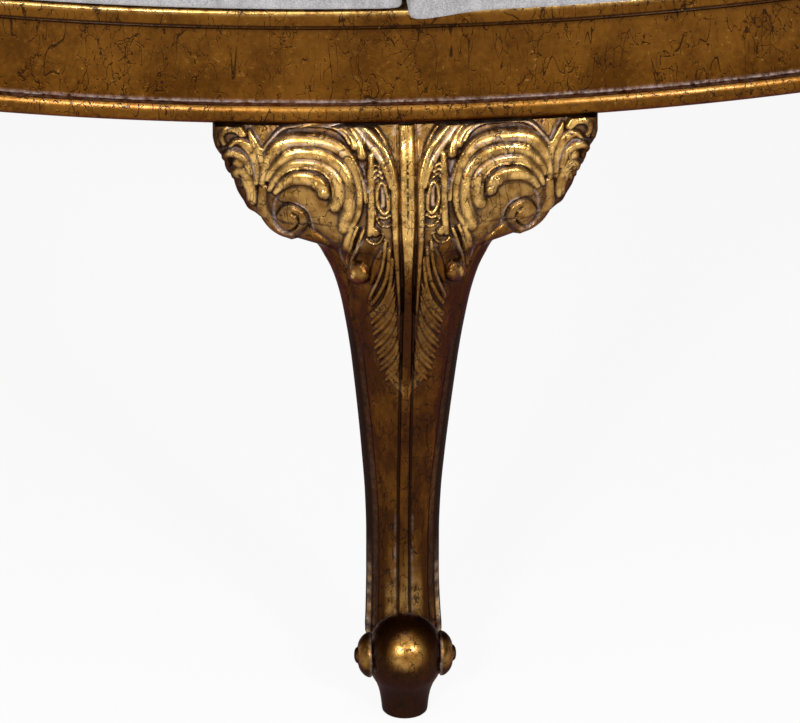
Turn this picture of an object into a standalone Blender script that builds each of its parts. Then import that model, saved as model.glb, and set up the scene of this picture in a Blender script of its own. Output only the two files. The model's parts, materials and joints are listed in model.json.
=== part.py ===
"""Baroque round sofa: a ring of seats round a buttoned centre column, on carved and gilded cabriole legs.

Metres, +Z up. The origin is on the floor, on the sofa's axis. The first leg stands at -Y.
Angles round the sofa are counted from -Y towards +X.
"""
import math

import bmesh
import bpy
from mathutils import Matrix, Vector

# Counts
SEATS = 6
DECK_PANELS = 3
RAIL_FACETS = 9
PAD_COLUMNS = 8
CUSHION_ARC = 4
ROUND_FACETS = 36
BUTTON_FACETS = 6
TURNED_FACETS = 10
BOLT_FACETS = 8
VOLUTE_POINTS = 10

# Gap between pieces that touch, how far a cutter runs past the face that it opens, and how far a shape that is
# joined to another sinks into it
CLEARANCE = 0.0003
CUT_REACH = 0.004
SINK = 0.001

# Gilded seat rail, a ring built of bent sections that meet halfway between the legs
RAIL_RADIUS = 0.750
RAIL_HEIGHT = 0.0499
RAIL_DEPTH = 0.052
TORUS_HEIGHT = 0.0108
TORUS_LEDGE = 0.0059
LEDGE_HEIGHT = 0.0092
FILLET_HEIGHT = 0.0068
FILLET_SETBACK = 0.0105
FILLET_ROUND = 0.0012
COVE_QUIRK = 0.0024
COVE_SAG = 0.0006
REBATE_WIDTH = 0.016
SPLINE_LENGTH = 0.060
SPLINE_WIDTH = 0.012
SPLINE_HEIGHT = 0.020

# Carved cabriole leg
LEG_HEIGHT = 0.2877
KNEE_WIDTH = 0.166
ANKLE_WIDTH = 0.032
KNEE_FORWARD = 0.012
ANKLE_SETBACK = 0.0215
KNEE_DEPTH = 0.056
ANKLE_DEPTH = 0.036
VOLUTE_SPREAD = 0.098
VOLUTE_RADIUS = 0.0090
VOLUTE_RIBBON = 0.0024
VOLUTE_DROP = 0.0435
CABOCHON_WIDTH = 0.011
CABOCHON_LENGTH = 0.028
CABOCHON_RISE = 0.0035
CABOCHON_DROP = 0.0400

# Scroll toe under the ankle, its end buttons and the glide that it stands on
SCROLL_RADIUS = 0.016
SCROLL_WIDTH = 0.0294
SCROLL_HEIGHT = 0.0300
SCROLL_SETBACK = 0.011
TOE_TOP_RADIUS = 0.0145
TOE_BOTTOM_RADIUS = 0.0098
TOE_HEIGHT = 0.020
TOE_SETBACK = 0.014
BUTTON_RADIUS = 0.0096
BUTTON_THICKNESS = 0.0050
BUTTON_KNOB_RADIUS = 0.0036
BUTTON_KNOB_HEIGHT = 0.0022
GLIDE_RADIUS = 0.008
GLIDE_HEIGHT = 0.002

# Bolt that holds each leg up against the rail
BOLT_RADIUS = 0.004
BOLT_HEAD_RADIUS = 0.0065
BOLT_HEAD_HEIGHT = 0.008
BOLT_SETBACK = 0.025
BOLT_REACH = 0.045
BOLT_PLAY = 0.0004

# Seat bearers, hub and deck under the cushions
BEARER_WIDTH = 0.060
TENON_LENGTH = 0.012
TENON_WIDTH = 0.036
TENON_HEIGHT = 0.014
HUB_ACROSS_FLATS = 0.320
DECK_THICKNESS = 0.012
DECK_INNER_RADIUS = 0.100
DECK_GAP = 0.002
DUST_COVER_THICKNESS = 0.0012
DUST_COVER_MARGIN = 0.002

# Seat cushions
CUSHION_HEIGHT = 0.118
CUSHION_CROWN = 0.020
CUSHION_BULGE = 0.004
CUSHION_OVERHANG = 0.0005
CUSHION_CORNER = 0.012
CUSHION_EDGE = 0.006
CUSHION_SHOULDER = 0.024

# Centre column and its buttoned back pads
COLUMN_HEIGHT = 0.660
COLUMN_BASE_RADIUS = 0.215
COLUMN_TOP_RADIUS = 0.165
COLUMN_BOARD = 0.018
COLUMN_SKIN = 0.004
PAD_THICKNESS = 0.050
PAD_EDGE = 0.034
PAD_GAP = 0.0016
PAD_ROUND = 0.030
TUFT_DEPTH = 0.022
TUFT_ROWS = 5
TUFT_PITCH = 0.080
TUFT_TOP_MARGIN = 0.120
BACK_BUTTON_RADIUS = 0.010
BACK_BUTTON_STEM = 0.003
BACK_BUTTON_HEIGHT = 0.008

# Gilded crown ring and the pad inside it
CROWN_HEIGHT = 0.036
CROWN_OVERHANG = 0.010
CROWN_WIDTH = 0.075
CROWN_BEAD = 0.012
TOP_PAD_HEIGHT = 0.030
TOP_PAD_CROWN = 0.016

# Places worked out from the sizes above
SEAT_ANGLE = math.tau / SEATS
FACET_SHRINK = math.cos(SEAT_ANGLE / RAIL_FACETS / 2)
LEG_BOTTOM = GLIDE_HEIGHT + CLEARANCE
LEG_TOP = LEG_BOTTOM + LEG_HEIGHT
RAIL_BOTTOM = LEG_TOP + CLEARANCE
RAIL_TOP = RAIL_BOTTOM + RAIL_HEIGHT
RAIL_INNER = RAIL_RADIUS - RAIL_DEPTH
REBATE_DEPTH = DECK_THICKNESS + CLEARANCE
DECK_BOTTOM = RAIL_TOP - DECK_THICKNESS
SEAT_BASE = RAIL_TOP + CLEARANCE
BEARER_TOP = DECK_BOTTOM - CLEARANCE
BEARER_HEIGHT = BEARER_TOP - RAIL_BOTTOM
COLUMN_TOP = SEAT_BASE + COLUMN_HEIGHT

# The volute's ribbon leaves the leg's edge below and inside its eye
VOLUTE_START = math.radians(-140)
VOLUTE_SWEEP = math.radians(470)

# The back buttons' facets stand askew to the quilt's rows
BUTTON_TURN = math.radians(13)

# The leg from the rail down: share of its height, share of the way from ankle width to knee width, share of the
# way from the ankle's front to the knee's front, share of the way from ankle depth to knee depth, and how far
# its front edges fall back from the middle, as a share of its depth there
LEG_STATIONS = (
    (1.000, 1.000, 0.55, 0.35, 0.12),
    (0.972, 0.990, 0.70, 0.60, 0.24),
    (0.930, 0.900, 0.82, 0.80, 0.30),
    (0.889, 0.830, 0.91, 0.90, 0.34),
    (0.858, 0.780, 0.97, 0.95, 0.37),
    (0.845, 0.705, 0.98, 0.97, 0.38),
    (0.824, 0.650, 1.00, 1.00, 0.39),
    (0.808, 0.587, 1.00, 1.00, 0.39),
    (0.795, 0.440, 1.00, 1.00, 0.38),
    (0.780, 0.330, 0.99, 0.98, 0.36),
    (0.754, 0.260, 0.97, 0.95, 0.34),
    (0.716, 0.200, 0.91, 0.85, 0.32),
    (0.654, 0.155, 0.76, 0.65, 0.28),
    (0.567, 0.098, 0.55, 0.45, 0.24),
    (0.480, 0.055, 0.34, 0.30, 0.21),
    (0.376, 0.020, 0.13, 0.10, 0.20),
    (0.272, 0.000, 0.01, 0.00, 0.19),
    (0.195, 0.000, 0.00, -0.13, 0.19),
    (0.140, 0.008, 0.07, -0.25, 0.19),
    (0.091, -0.020, 0.22, -0.45, 0.18),
    (0.042, -0.060, 0.31, -0.80, 0.18),
)

# A cushion from its base up: how far its outline is drawn in and how high it stands there, both worked out below
CUSHION_SIDE = (0.5, 0.82, 0.95)

GILT = ("gilt", (0.46, 0.27, 0.07), 0.34, 1.0)
VELVET = ("velvet", (0.70, 0.70, 0.72), 0.85, 0.0)
BEECH = ("beech", (0.60, 0.42, 0.25), 0.60, 0.0)
PLYWOOD = ("plywood", (0.66, 0.50, 0.32), 0.65, 0.0)
STEEL = ("steel", (0.55, 0.56, 0.58), 0.35, 1.0)
NYLON = ("nylon", (0.06, 0.05, 0.05), 0.55, 0.0)
BLACK_CLOTH = ("black_cloth", (0.03, 0.03, 0.03), 0.95, 0.0)


# Scene, materials and objects

def clear_scene():
    for item in list(bpy.data.objects):
        bpy.data.objects.remove(item, do_unlink=True)


def collection(name):
    found = bpy.data.collections.new(name)
    bpy.context.scene.collection.children.link(found)
    return found


def finish_material(finish):
    name, colour, roughness, metallic = finish
    found = bpy.data.materials.get(name)
    if found:
        return found
    made = bpy.data.materials.new(name)
    made.use_nodes = True
    shader = made.node_tree.nodes["Principled BSDF"]
    shader.inputs["Base Color"].default_value = (*colour, 1.0)
    shader.inputs["Roughness"].default_value = roughness
    shader.inputs["Metallic"].default_value = metallic
    return made


def place(name, mesh, finish, turn=0.0):
    """One part of the sofa, turned about its axis to its place in the ring."""
    mesh.materials.clear()
    mesh.materials.append(finish_material(finish))
    made = bpy.data.objects.new(name, mesh)
    made.rotation_euler.z = turn
    parts.objects.link(made)
    return made


def place_ring(name, mesh, finish, first_turn=0.0):
    """One copy of a piece for each seat, named by its number round the ring."""
    for index in range(SEATS):
        place(f"{name}_{index + 1}", mesh, finish, first_turn + index * SEAT_ANGLE)


# Meshes

def mesh_from(bm, name, smooth_angle=None):
    bmesh.ops.recalc_face_normals(bm, faces=bm.faces)
    mesh = bpy.data.meshes.new(name)
    bm.to_mesh(mesh)
    bm.free()
    if smooth_angle:
        mesh.shade_smooth()
        mesh.set_sharp_from_angle(angle=math.radians(smooth_angle))
    return mesh


def loft(name, rings, smooth_angle=None):
    """A closed skin through rings of equally many points, capped at both ends."""
    bm = bmesh.new()
    rows = [[bm.verts.new(point) for point in ring] for ring in rings]
    count = len(rings[0])
    for lower, upper in zip(rows, rows[1:]):
        for index in range(count):
            after = (index + 1) % count
            bm.faces.new((lower[index], lower[after], upper[after], upper[index]))
    bm.faces.new(rows[0])
    bm.faces.new(rows[-1])
    return mesh_from(bm, name, smooth_angle)


def box(name, low, high):
    bm = bmesh.new()
    bmesh.ops.create_cube(bm, size=1.0)
    low, high = Vector(low), Vector(high)
    bmesh.ops.scale(bm, vec=high - low, verts=bm.verts)
    bmesh.ops.translate(bm, vec=(low + high) / 2, verts=bm.verts)
    return mesh_from(bm, name)


def disc(name, radius, low, high, facets=ROUND_FACETS):
    bm = bmesh.new()
    bmesh.ops.create_cone(bm, cap_ends=True, segments=facets, radius1=radius, radius2=radius, depth=high - low)
    bmesh.ops.translate(bm, vec=(0, 0, (low + high) / 2), verts=bm.verts)
    return mesh_from(bm, name, 40)


def turned(name, profile, facets, closed=False):
    """A profile of (radius, height) points, from the top down its outer side, turned about Z with a Screw."""
    mesh = bpy.data.meshes.new(name)
    edges = [(index, index + 1) for index in range(len(profile) - 1)]
    if closed:
        edges.append((len(profile) - 1, 0))
    mesh.from_pydata([(radius, 0, height) for radius, height in profile], edges, [])
    blank = bpy.data.objects.new(name, mesh)
    parts.objects.link(blank)
    screw = blank.modifiers.new("turn", "SCREW")
    screw.steps = facets
    screw.render_steps = facets
    screw.use_merge_vertices = True
    screw.merge_threshold = 0.00001
    baked = bake(blank)
    bpy.data.objects.remove(blank)
    bm = bmesh.new()
    bm.from_mesh(baked)
    return mesh_from(bm, name, 40)


def bake(item):
    """The object's evaluated mesh, with its modifiers worked in."""
    bpy.context.view_layer.update()
    graph = bpy.context.evaluated_depsgraph_get()
    return bpy.data.meshes.new_from_object(item.evaluated_get(graph))


def combine(name, mesh, tools, operation):
    """The mesh with each tool mesh joined to it or cut out of it."""
    target = bpy.data.objects.new(name, mesh)
    parts.objects.link(target)
    for index, tool in enumerate(tools):
        cutter = bpy.data.objects.new(f"{name}_tool_{index}", tool)
        cutters.objects.link(cutter)
        cutter.hide_render = True
        cutter.display_type = "WIRE"
        step = target.modifiers.new(f"step_{index}", "BOOLEAN")
        step.operation = operation
        step.object = cutter
    made = bake(target)
    bpy.data.objects.remove(target)
    return made


def ring_turns(first_turn=0.0):
    return [Matrix.Rotation(first_turn + index * SEAT_ANGLE, 4, "Z") for index in range(SEATS)]


def around(radius, angle, height):
    return Vector((radius * math.sin(angle), -radius * math.cos(angle), height))


def steps(count):
    return [index / count for index in range(count + 1)]


# Gilded rail

def rail_profile():
    """The rail's section as (setback from the outermost edge, height), anticlockwise from its inner bottom corner."""
    bead = TORUS_HEIGHT / 2
    bead_end = math.asin(max(-0.5, min(1.0, LEDGE_HEIGHT / bead - 1)))
    points = [(RAIL_DEPTH, 0.0)]
    for share in steps(4):
        turn = -math.pi / 2 + share * (bead_end + math.pi / 2)
        points.append((bead - bead * math.cos(turn), bead + bead * math.sin(turn)))
    cove_foot = Vector((points[-1][0] + TORUS_LEDGE, LEDGE_HEIGHT))
    cove_head = Vector((FILLET_SETBACK + COVE_QUIRK, RAIL_HEIGHT - FILLET_HEIGHT))
    for share in steps(2):
        along = cove_foot.lerp(cove_head, share)
        points.append((along.x + COVE_SAG * 4 * share * (1 - share), along.y))
    points.append((FILLET_SETBACK, RAIL_HEIGHT - FILLET_HEIGHT))
    points.append((FILLET_SETBACK, RAIL_HEIGHT - FILLET_ROUND))
    points.append((FILLET_SETBACK + FILLET_ROUND, RAIL_HEIGHT))
    lip = RAIL_DEPTH - REBATE_WIDTH
    points += [(lip, RAIL_HEIGHT), (lip, RAIL_HEIGHT - REBATE_DEPTH), (RAIL_DEPTH, RAIL_HEIGHT - REBATE_DEPTH)]
    return points


def spline_box(name, play):
    """A loose tongue across the joint between two rail sections, at the front, with play all round it."""
    middle = (FILLET_SETBACK + COVE_QUIRK + RAIL_DEPTH) / 2
    centre = Vector((0, -(RAIL_RADIUS - middle), RAIL_BOTTOM + (RAIL_HEIGHT - REBATE_DEPTH) / 2))
    half = Vector((SPLINE_LENGTH / 2 + play, SPLINE_WIDTH / 2 + play, SPLINE_HEIGHT / 2 + play))
    return box(name, centre - half, centre + half)


def moved(mesh, matrix):
    copy = mesh.copy()
    copy.transform(matrix)
    return copy


def make_rail():
    span = SEAT_ANGLE - CLEARANCE / RAIL_RADIUS
    bm = bmesh.new()
    outline = [around(RAIL_RADIUS - setback, -span / 2, RAIL_BOTTOM + height) for setback, height in rail_profile()]
    section = bm.faces.new([bm.verts.new(point) for point in outline])
    bmesh.ops.spin(bm, geom=[section], cent=(0, 0, 0), axis=(0, 0, 1), angle=span, steps=RAIL_FACETS)
    blank = mesh_from(bm, "rail_section", 35)
    slot = spline_box("spline_slot", CLEARANCE)
    half_turn = SEAT_ANGLE / 2
    cuts = [moved(slot, Matrix.Rotation(turn, 4, "Z")) for turn in (-half_turn, half_turn)]
    cuts.append(turned("bolt_hole", bolt_profile(BOLT_PLAY, RAIL_HEIGHT), BOLT_FACETS))
    cuts[-1].transform(Matrix.Translation((0, -(RAIL_RADIUS - BOLT_SETBACK), 0)))
    cuts.append(tenon_box("rail_mortise", RAIL_INNER - CUT_REACH, RAIL_INNER + TENON_LENGTH + CLEARANCE, CLEARANCE))
    place_ring("rail_section", combine("rail_section", blank, cuts, "DIFFERENCE"), GILT)
    place_ring("rail_spline", spline_box("rail_spline", 0.0), BEECH, half_turn)


# Leg bolts

def bolt_profile(play, extra_top):
    """A cap screw from the rail's top down into the leg, or with play and extra height the hole that it fits."""
    head_top = RAIL_TOP - CLEARANCE + extra_top
    head_bottom = RAIL_TOP - CLEARANCE - BOLT_HEAD_HEIGHT - play
    tip = LEG_TOP - BOLT_REACH - play
    return [(0.0, head_top), (BOLT_HEAD_RADIUS + play, head_top), (BOLT_HEAD_RADIUS + play, head_bottom),
            (BOLT_RADIUS + play, head_bottom), (BOLT_RADIUS + play, tip), (0.0, tip)]


def make_leg_bolts():
    bolt = turned("leg_bolt", bolt_profile(0.0, 0.0), BOLT_FACETS)
    bolt.transform(Matrix.Translation((0, -(RAIL_RADIUS - BOLT_SETBACK), 0)))
    place_ring("leg_bolt", bolt, STEEL)


# Legs

def mix(low, high, share):
    return low + (high - low) * share


# Half of one level of the leg, from the middle of its bowed front to its flat back: share of the half width, share
# of the front's fall, and share of the depth behind that
LEG_SECTION = ((0.0, 0.0, 0.0), (0.45, 0.22, 0.0), (0.88, 0.75, 0.0), (1.0, 1.0, 0.08), (1.0, 0.0, 0.86), (0.88, 0.0, 1.0))


def leg_half(station):
    """The right half of one level of the leg as (distance from the middle, forward of the rail's edge)."""
    height, width_share, front_share, depth_share, edge_share = station
    half = mix(ANKLE_WIDTH, KNEE_WIDTH, width_share) / 2
    front = mix(-ANKLE_SETBACK, KNEE_FORWARD, front_share)
    depth = mix(ANKLE_DEPTH, KNEE_DEPTH, depth_share)
    return [(half * out, front - (fall * edge_share + back) * depth) for out, fall, back in LEG_SECTION]


def leg_ring(station):
    right = leg_half(station)
    outline = right + [(-x, forward) for x, forward in reversed(right[1:])]
    level = LEG_BOTTOM + station[0] * LEG_HEIGHT
    return [Vector((x, -(RAIL_RADIUS + forward), level)) for x, forward in outline]


def leg_front(across, level):
    """A point on the leg's carved front at a distance from its middle and a height."""
    share = (level - LEG_BOTTOM) / LEG_HEIGHT
    upper, lower = next(pair for pair in zip(LEG_STATIONS, LEG_STATIONS[1:]) if pair[1][0] <= share)
    between = (upper[0] - share) / (upper[0] - lower[0])
    right = leg_half([mix(high, low, between) for high, low in zip(upper, lower)])
    near, far = next(pair for pair in zip(right, right[1:]) if pair[1][0] >= abs(across) or pair[1][0] == right[-2][0])
    forward = mix(near[1], far[1], (abs(across) - near[0]) / (far[0] - near[0]))
    return Vector((across, -(RAIL_RADIUS + forward), level))


def scroll_toe():
    """The barrel that the foot rolls into, turned about the sofa's tangent, with flat ends for its buttons."""
    half = SCROLL_WIDTH / 2
    end = math.acos(half / SCROLL_RADIUS)
    profile = [(0.0, half)]
    for share in steps(5):
        angle = mix(end, math.pi - end, share)
        profile.append((SCROLL_RADIUS * math.sin(angle), SCROLL_RADIUS * math.cos(angle)))
    profile.append((0.0, -half))
    barrel = turned("scroll_toe", profile, TURNED_FACETS)
    barrel.transform(scroll_axis(0.0))
    return barrel


def scroll_axis(out):
    """Turns Z to run along +X and moves the origin out from the scroll's middle by that much."""
    centre = Vector((out, -(RAIL_RADIUS - SCROLL_SETBACK), LEG_BOTTOM + SCROLL_HEIGHT))
    return Matrix.Translation(centre) @ Matrix.Rotation(math.pi / 2, 4, "Y")


def toe_pad():
    top = LEG_BOTTOM + TOE_HEIGHT
    profile = [(0.0, top), (TOE_TOP_RADIUS, top), (TOE_BOTTOM_RADIUS, LEG_BOTTOM), (0.0, LEG_BOTTOM)]
    pad = turned("toe_pad", profile, TURNED_FACETS)
    pad.transform(Matrix.Translation((0, -(RAIL_RADIUS - TOE_SETBACK), 0)))
    return pad


def scroll_button(side):
    """A stepped roundel carved on one end of the scroll toe."""
    rim = BUTTON_THICKNESS / 4
    top = BUTTON_THICKNESS + BUTTON_KNOB_HEIGHT
    profile = [(0.0, top), (BUTTON_KNOB_RADIUS, top), (BUTTON_KNOB_RADIUS, BUTTON_THICKNESS),
               (BUTTON_RADIUS - rim, BUTTON_THICKNESS), (BUTTON_RADIUS, BUTTON_THICKNESS - rim),
               (BUTTON_RADIUS - rim, -SINK), (0.0, -SINK)]
    button = turned("scroll_button", profile, TURNED_FACETS)
    button.transform(scroll_axis(SCROLL_WIDTH / 2))
    if side < 0:
        button.transform(Matrix.Scale(-1, 4, (1, 0, 0)))
        button.flip_normals()
    return button


def volute(side):
    """The scroll that the leg's edge rolls into on each ear of the knee: a spiral ribbon laid on its front."""
    path = bpy.data.curves.new("volute", "CURVE")
    path.dimensions = "3D"
    path.bevel_depth = VOLUTE_RIBBON
    path.bevel_resolution = 0
    path.use_fill_caps = True
    turns = steps(VOLUTE_POINTS)
    ribbon = path.splines.new("POLY")
    ribbon.points.add(VOLUTE_POINTS)
    for point, share in zip(ribbon.points, turns):
        angle = VOLUTE_START + share * VOLUTE_SWEEP
        radius = mix(VOLUTE_RADIUS, VOLUTE_RIBBON, share)
        across = side * (VOLUTE_SPREAD / 2 + radius * math.cos(angle))
        point.co = (*leg_front(across, LEG_TOP - VOLUTE_DROP + radius * math.sin(angle)), 1.0)
    tube = bpy.data.objects.new("volute", path)
    parts.objects.link(tube)
    mesh = bake(tube)
    bpy.data.objects.remove(tube)
    bm = bmesh.new()
    bm.from_mesh(mesh)
    bmesh.ops.remove_doubles(bm, verts=bm.verts, dist=0.00001)
    return mesh_from(bm, "volute")


def cabochon():
    """The raised drop in the middle of the knee."""
    bm = bmesh.new()
    bmesh.ops.create_uvsphere(bm, u_segments=8, v_segments=6, radius=1.0)
    bmesh.ops.scale(bm, vec=(CABOCHON_WIDTH / 2, CABOCHON_RISE, CABOCHON_LENGTH / 2), verts=bm.verts)
    bmesh.ops.translate(bm, vec=leg_front(0.0, LEG_TOP - CABOCHON_DROP), verts=bm.verts)
    return mesh_from(bm, "cabochon")


def make_legs():
    body = loft("leg", [leg_ring(station) for station in LEG_STATIONS], 50)
    carving = [scroll_toe(), toe_pad(), scroll_button(1), scroll_button(-1), volute(1), volute(-1), cabochon()]
    joined = combine("leg", body, carving, "UNION")
    hole = turned("leg_bolt_hole", bolt_profile(BOLT_PLAY, 0.0), BOLT_FACETS)
    hole.transform(Matrix.Translation((0, -(RAIL_RADIUS - BOLT_SETBACK), 0)))
    place_ring("leg", combine("leg", joined, [hole], "DIFFERENCE"), GILT)


def make_glides():
    glide = disc("foot_glide", GLIDE_RADIUS, 0.0, GLIDE_HEIGHT, TURNED_FACETS)
    glide.transform(Matrix.Translation((0, -(RAIL_RADIUS - TOE_SETBACK), 0)))
    place_ring("foot_glide", glide, NYLON)


# Bearers, hub, deck and dust cover

def tenon_box(name, inner, outer, play):
    middle = RAIL_BOTTOM + BEARER_HEIGHT / 2
    half_width = TENON_WIDTH / 2 + play
    half_height = TENON_HEIGHT / 2 + play
    return box(name, (-half_width, -outer, middle - half_height), (half_width, -inner, middle + half_height))


def make_bearers():
    """Beams from the hub to the rail above each leg, with a tenon at both ends."""
    hub_face = HUB_ACROSS_FLATS / 2
    half = BEARER_WIDTH / 2
    outer = math.sqrt((RAIL_INNER * FACET_SHRINK) ** 2 - half ** 2) - CLEARANCE
    beam = box("bearer", (-half, -outer, RAIL_BOTTOM), (half, -(hub_face + CLEARANCE), BEARER_TOP))
    tenon = tenon_box("bearer_tenon", hub_face - TENON_LENGTH, RAIL_INNER + TENON_LENGTH, 0.0)
    place_ring("seat_bearer", combine("seat_bearer", beam, [tenon], "UNION"), BEECH)
    hub = disc("hub_block", hub_face / math.cos(SEAT_ANGLE / 2), RAIL_BOTTOM, BEARER_TOP, SEATS)
    hub.transform(Matrix.Rotation(SEAT_ANGLE / 2, 4, "Z"))
    mortise = tenon_box("hub_mortise", hub_face - TENON_LENGTH - CLEARANCE, hub_face + CUT_REACH, CLEARANCE)
    mortises = [moved(mortise, turn) for turn in ring_turns()]
    place("hub_block", combine("hub_block", hub, mortises, "DIFFERENCE"), BEECH)


def edge_angle(radius, offset, half_angle=SEAT_ANGLE / 2):
    """The angle at which a line, that far inside a sector's edge and parallel to it, crosses a radius."""
    return half_angle - math.asin(offset / radius)


def make_decks():
    """Plywood seat panels that drop into the rail's rebate and meet over the bearers."""
    half_angle = math.pi / DECK_PANELS
    outer = (RAIL_INNER + REBATE_WIDTH) * FACET_SHRINK - CLEARANCE
    outer_limit = edge_angle(outer, DECK_GAP / 2, half_angle)
    inner_limit = edge_angle(DECK_INNER_RADIUS, DECK_GAP / 2, half_angle)
    facets = RAIL_FACETS * SEATS // DECK_PANELS
    outline = [(outer, mix(-outer_limit, outer_limit, share)) for share in steps(facets)]
    outline += [(DECK_INNER_RADIUS, mix(inner_limit, -inner_limit, share)) for share in steps(facets // 3)]
    rings = [[around(radius, angle, level) for radius, angle in outline] for level in (DECK_BOTTOM, RAIL_TOP)]
    panel = loft("deck_panel", rings)
    for index in range(DECK_PANELS):
        place(f"deck_panel_{index + 1}", panel, PLYWOOD, (2 * index + 1) * half_angle)


def make_dust_cover():
    leg_back = mix(-ANKLE_SETBACK, KNEE_FORWARD, LEG_STATIONS[0][2])
    leg_back -= mix(ANKLE_DEPTH, KNEE_DEPTH, LEG_STATIONS[0][3])
    radius = RAIL_RADIUS + leg_back - DUST_COVER_MARGIN
    top = RAIL_BOTTOM - CLEARANCE
    place("dust_cover", disc("dust_cover", radius, top - DUST_COVER_THICKNESS, top), BLACK_CLOTH)


# Seat cushions

def sector_ring(inner, outer, inset, level):
    """A seat's outline with rounded corners, drawn in by inset on every side, at one level."""
    offset = CUSHION_BULGE + CLEARANCE / 2 + inset
    near, far = inner + inset, outer - inset
    corner = CUSHION_CORNER
    soft = 0.3 * corner
    far_limit = edge_angle(far, offset)
    near_limit = edge_angle(near, offset)
    right = [(far, share * (far_limit - corner / far)) for share in steps(CUSHION_ARC)[1:]]
    right.append((far - soft, edge_angle(far - soft, offset + soft)))
    right += [(mix(far - corner, near + corner, share), None) for share in steps(3)]
    right.append((near + soft, edge_angle(near + soft, offset + soft)))
    right += [(near, share * (near_limit - corner / near)) for share in reversed(steps(CUSHION_ARC)[1:])]
    right = [(radius, edge_angle(radius, offset) if angle is None else angle) for radius, angle in right]
    loop = [(far, 0.0)] + right + [(near, 0.0)] + [(radius, -angle) for radius, angle in reversed(right)]
    return [around(radius, angle, level) for radius, angle in loop]


def make_cushions():
    """Plump seat cushions with a crowned top; they bulge at mid height and draw in at the shoulder."""
    arc_shrink = math.cos(SEAT_ANGLE / 2 / CUSHION_ARC / 2)
    inner = (pad_back(SEAT_BASE) + PAD_THICKNESS + CUSHION_BULGE + CLEARANCE) / arc_shrink
    outer = RAIL_RADIUS - FILLET_SETBACK + CUSHION_OVERHANG
    crown_inset = 0.42 * (outer - inner)
    belly, shoulder, brow = CUSHION_SIDE
    shape = ((CUSHION_EDGE, 0.0), (0.0, CUSHION_EDGE), (-CUSHION_BULGE, belly * CUSHION_HEIGHT),
             (0.0, shoulder * CUSHION_HEIGHT), (CUSHION_SHOULDER / 3, brow * CUSHION_HEIGHT),
             (CUSHION_SHOULDER, CUSHION_HEIGHT))
    rings = [sector_ring(inner, outer, inset, SEAT_BASE + rise) for inset, rise in shape]
    for share in steps(3)[1:]:
        rise = CUSHION_HEIGHT + CUSHION_CROWN * (1 - (1 - share) ** 2)
        rings.append(sector_ring(inner, outer, mix(CUSHION_SHOULDER, crown_inset, share), SEAT_BASE + rise))
    place_ring("seat_cushion", loft("seat_cushion", rings, 60), VELVET, SEAT_ANGLE / 2)


# Centre column

def column_radius(level):
    """The outside of the column's skin at a height."""
    return mix(COLUMN_BASE_RADIUS, COLUMN_TOP_RADIUS, (level - SEAT_BASE) / COLUMN_HEIGHT)


def make_column_frame():
    board_top = SEAT_BASE + COLUMN_BOARD
    top_board = COLUMN_TOP - COLUMN_BOARD
    inside = COLUMN_SKIN + CLEARANCE
    place("column_base", disc("column_base", column_radius(board_top) - inside, SEAT_BASE, board_top), PLYWOOD)
    place("column_top", disc("column_top", column_radius(COLUMN_TOP) - inside, top_board, COLUMN_TOP), PLYWOOD)
    skin = [(COLUMN_TOP_RADIUS, COLUMN_TOP), (COLUMN_BASE_RADIUS, SEAT_BASE),
            (COLUMN_BASE_RADIUS - COLUMN_SKIN, SEAT_BASE), (COLUMN_TOP_RADIUS - COLUMN_SKIN, COLUMN_TOP)]
    place("column_skin", turned("column_skin", skin, ROUND_FACETS, closed=True), PLYWOOD)


# Back pads

def tuft_levels():
    first = COLUMN_TOP - TUFT_TOP_MARGIN - (TUFT_ROWS - 1) * TUFT_PITCH
    return [first + row * TUFT_PITCH for row in range(TUFT_ROWS)]


def tuft_places(row):
    """Buttons sit in a quincunx: two in an even row, one in an odd row, as shares of the pad's half width."""
    return (0.0,) if row % 2 else (-0.5, 0.5)


def pad_levels():
    """Heights of the pad's mesh rows: the foot, the button rows with one between each two, and a rounded head."""
    first = tuft_levels()[0]
    below = [mix(SEAT_BASE, first, share) for share in steps(3)[:-1]]
    middle = [first + half_row * TUFT_PITCH / 2 for half_row in range(2 * TUFT_ROWS - 1)]
    last = middle[-1]
    above = [mix(last, COLUMN_TOP - PAD_ROUND, share) for share in steps(2)[1:]]
    return below + middle + above + [COLUMN_TOP - PAD_ROUND / 4, COLUMN_TOP]


def is_tuft(level, share):
    for row, tuft_level in enumerate(tuft_levels()):
        if abs(level - tuft_level) < CLEARANCE and share in tuft_places(row):
            return True
    return False


def pad_thickness(level, share):
    """How far the pad stands off the column: full in the middle, drawn in at its seams, head and buttons."""
    seam = 1 - abs(share) ** 6
    head = min(1.0, max(0.0, (COLUMN_TOP - level) / PAD_ROUND))
    full = mix(PAD_EDGE, PAD_THICKNESS, seam * math.sqrt(1 - (1 - head) ** 2))
    return full - TUFT_DEPTH if is_tuft(level, share) else full


def pad_back(level):
    """The corners of the pad's faceted back, whose flats clear the column's skin."""
    return (column_radius(level) + CLEARANCE) / math.cos(SEAT_ANGLE / PAD_COLUMNS / 2)


def pad_point(level, share, thickness):
    back = pad_back(level)
    return around(back + thickness, share * edge_angle(back, PAD_GAP / 2), level)


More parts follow.
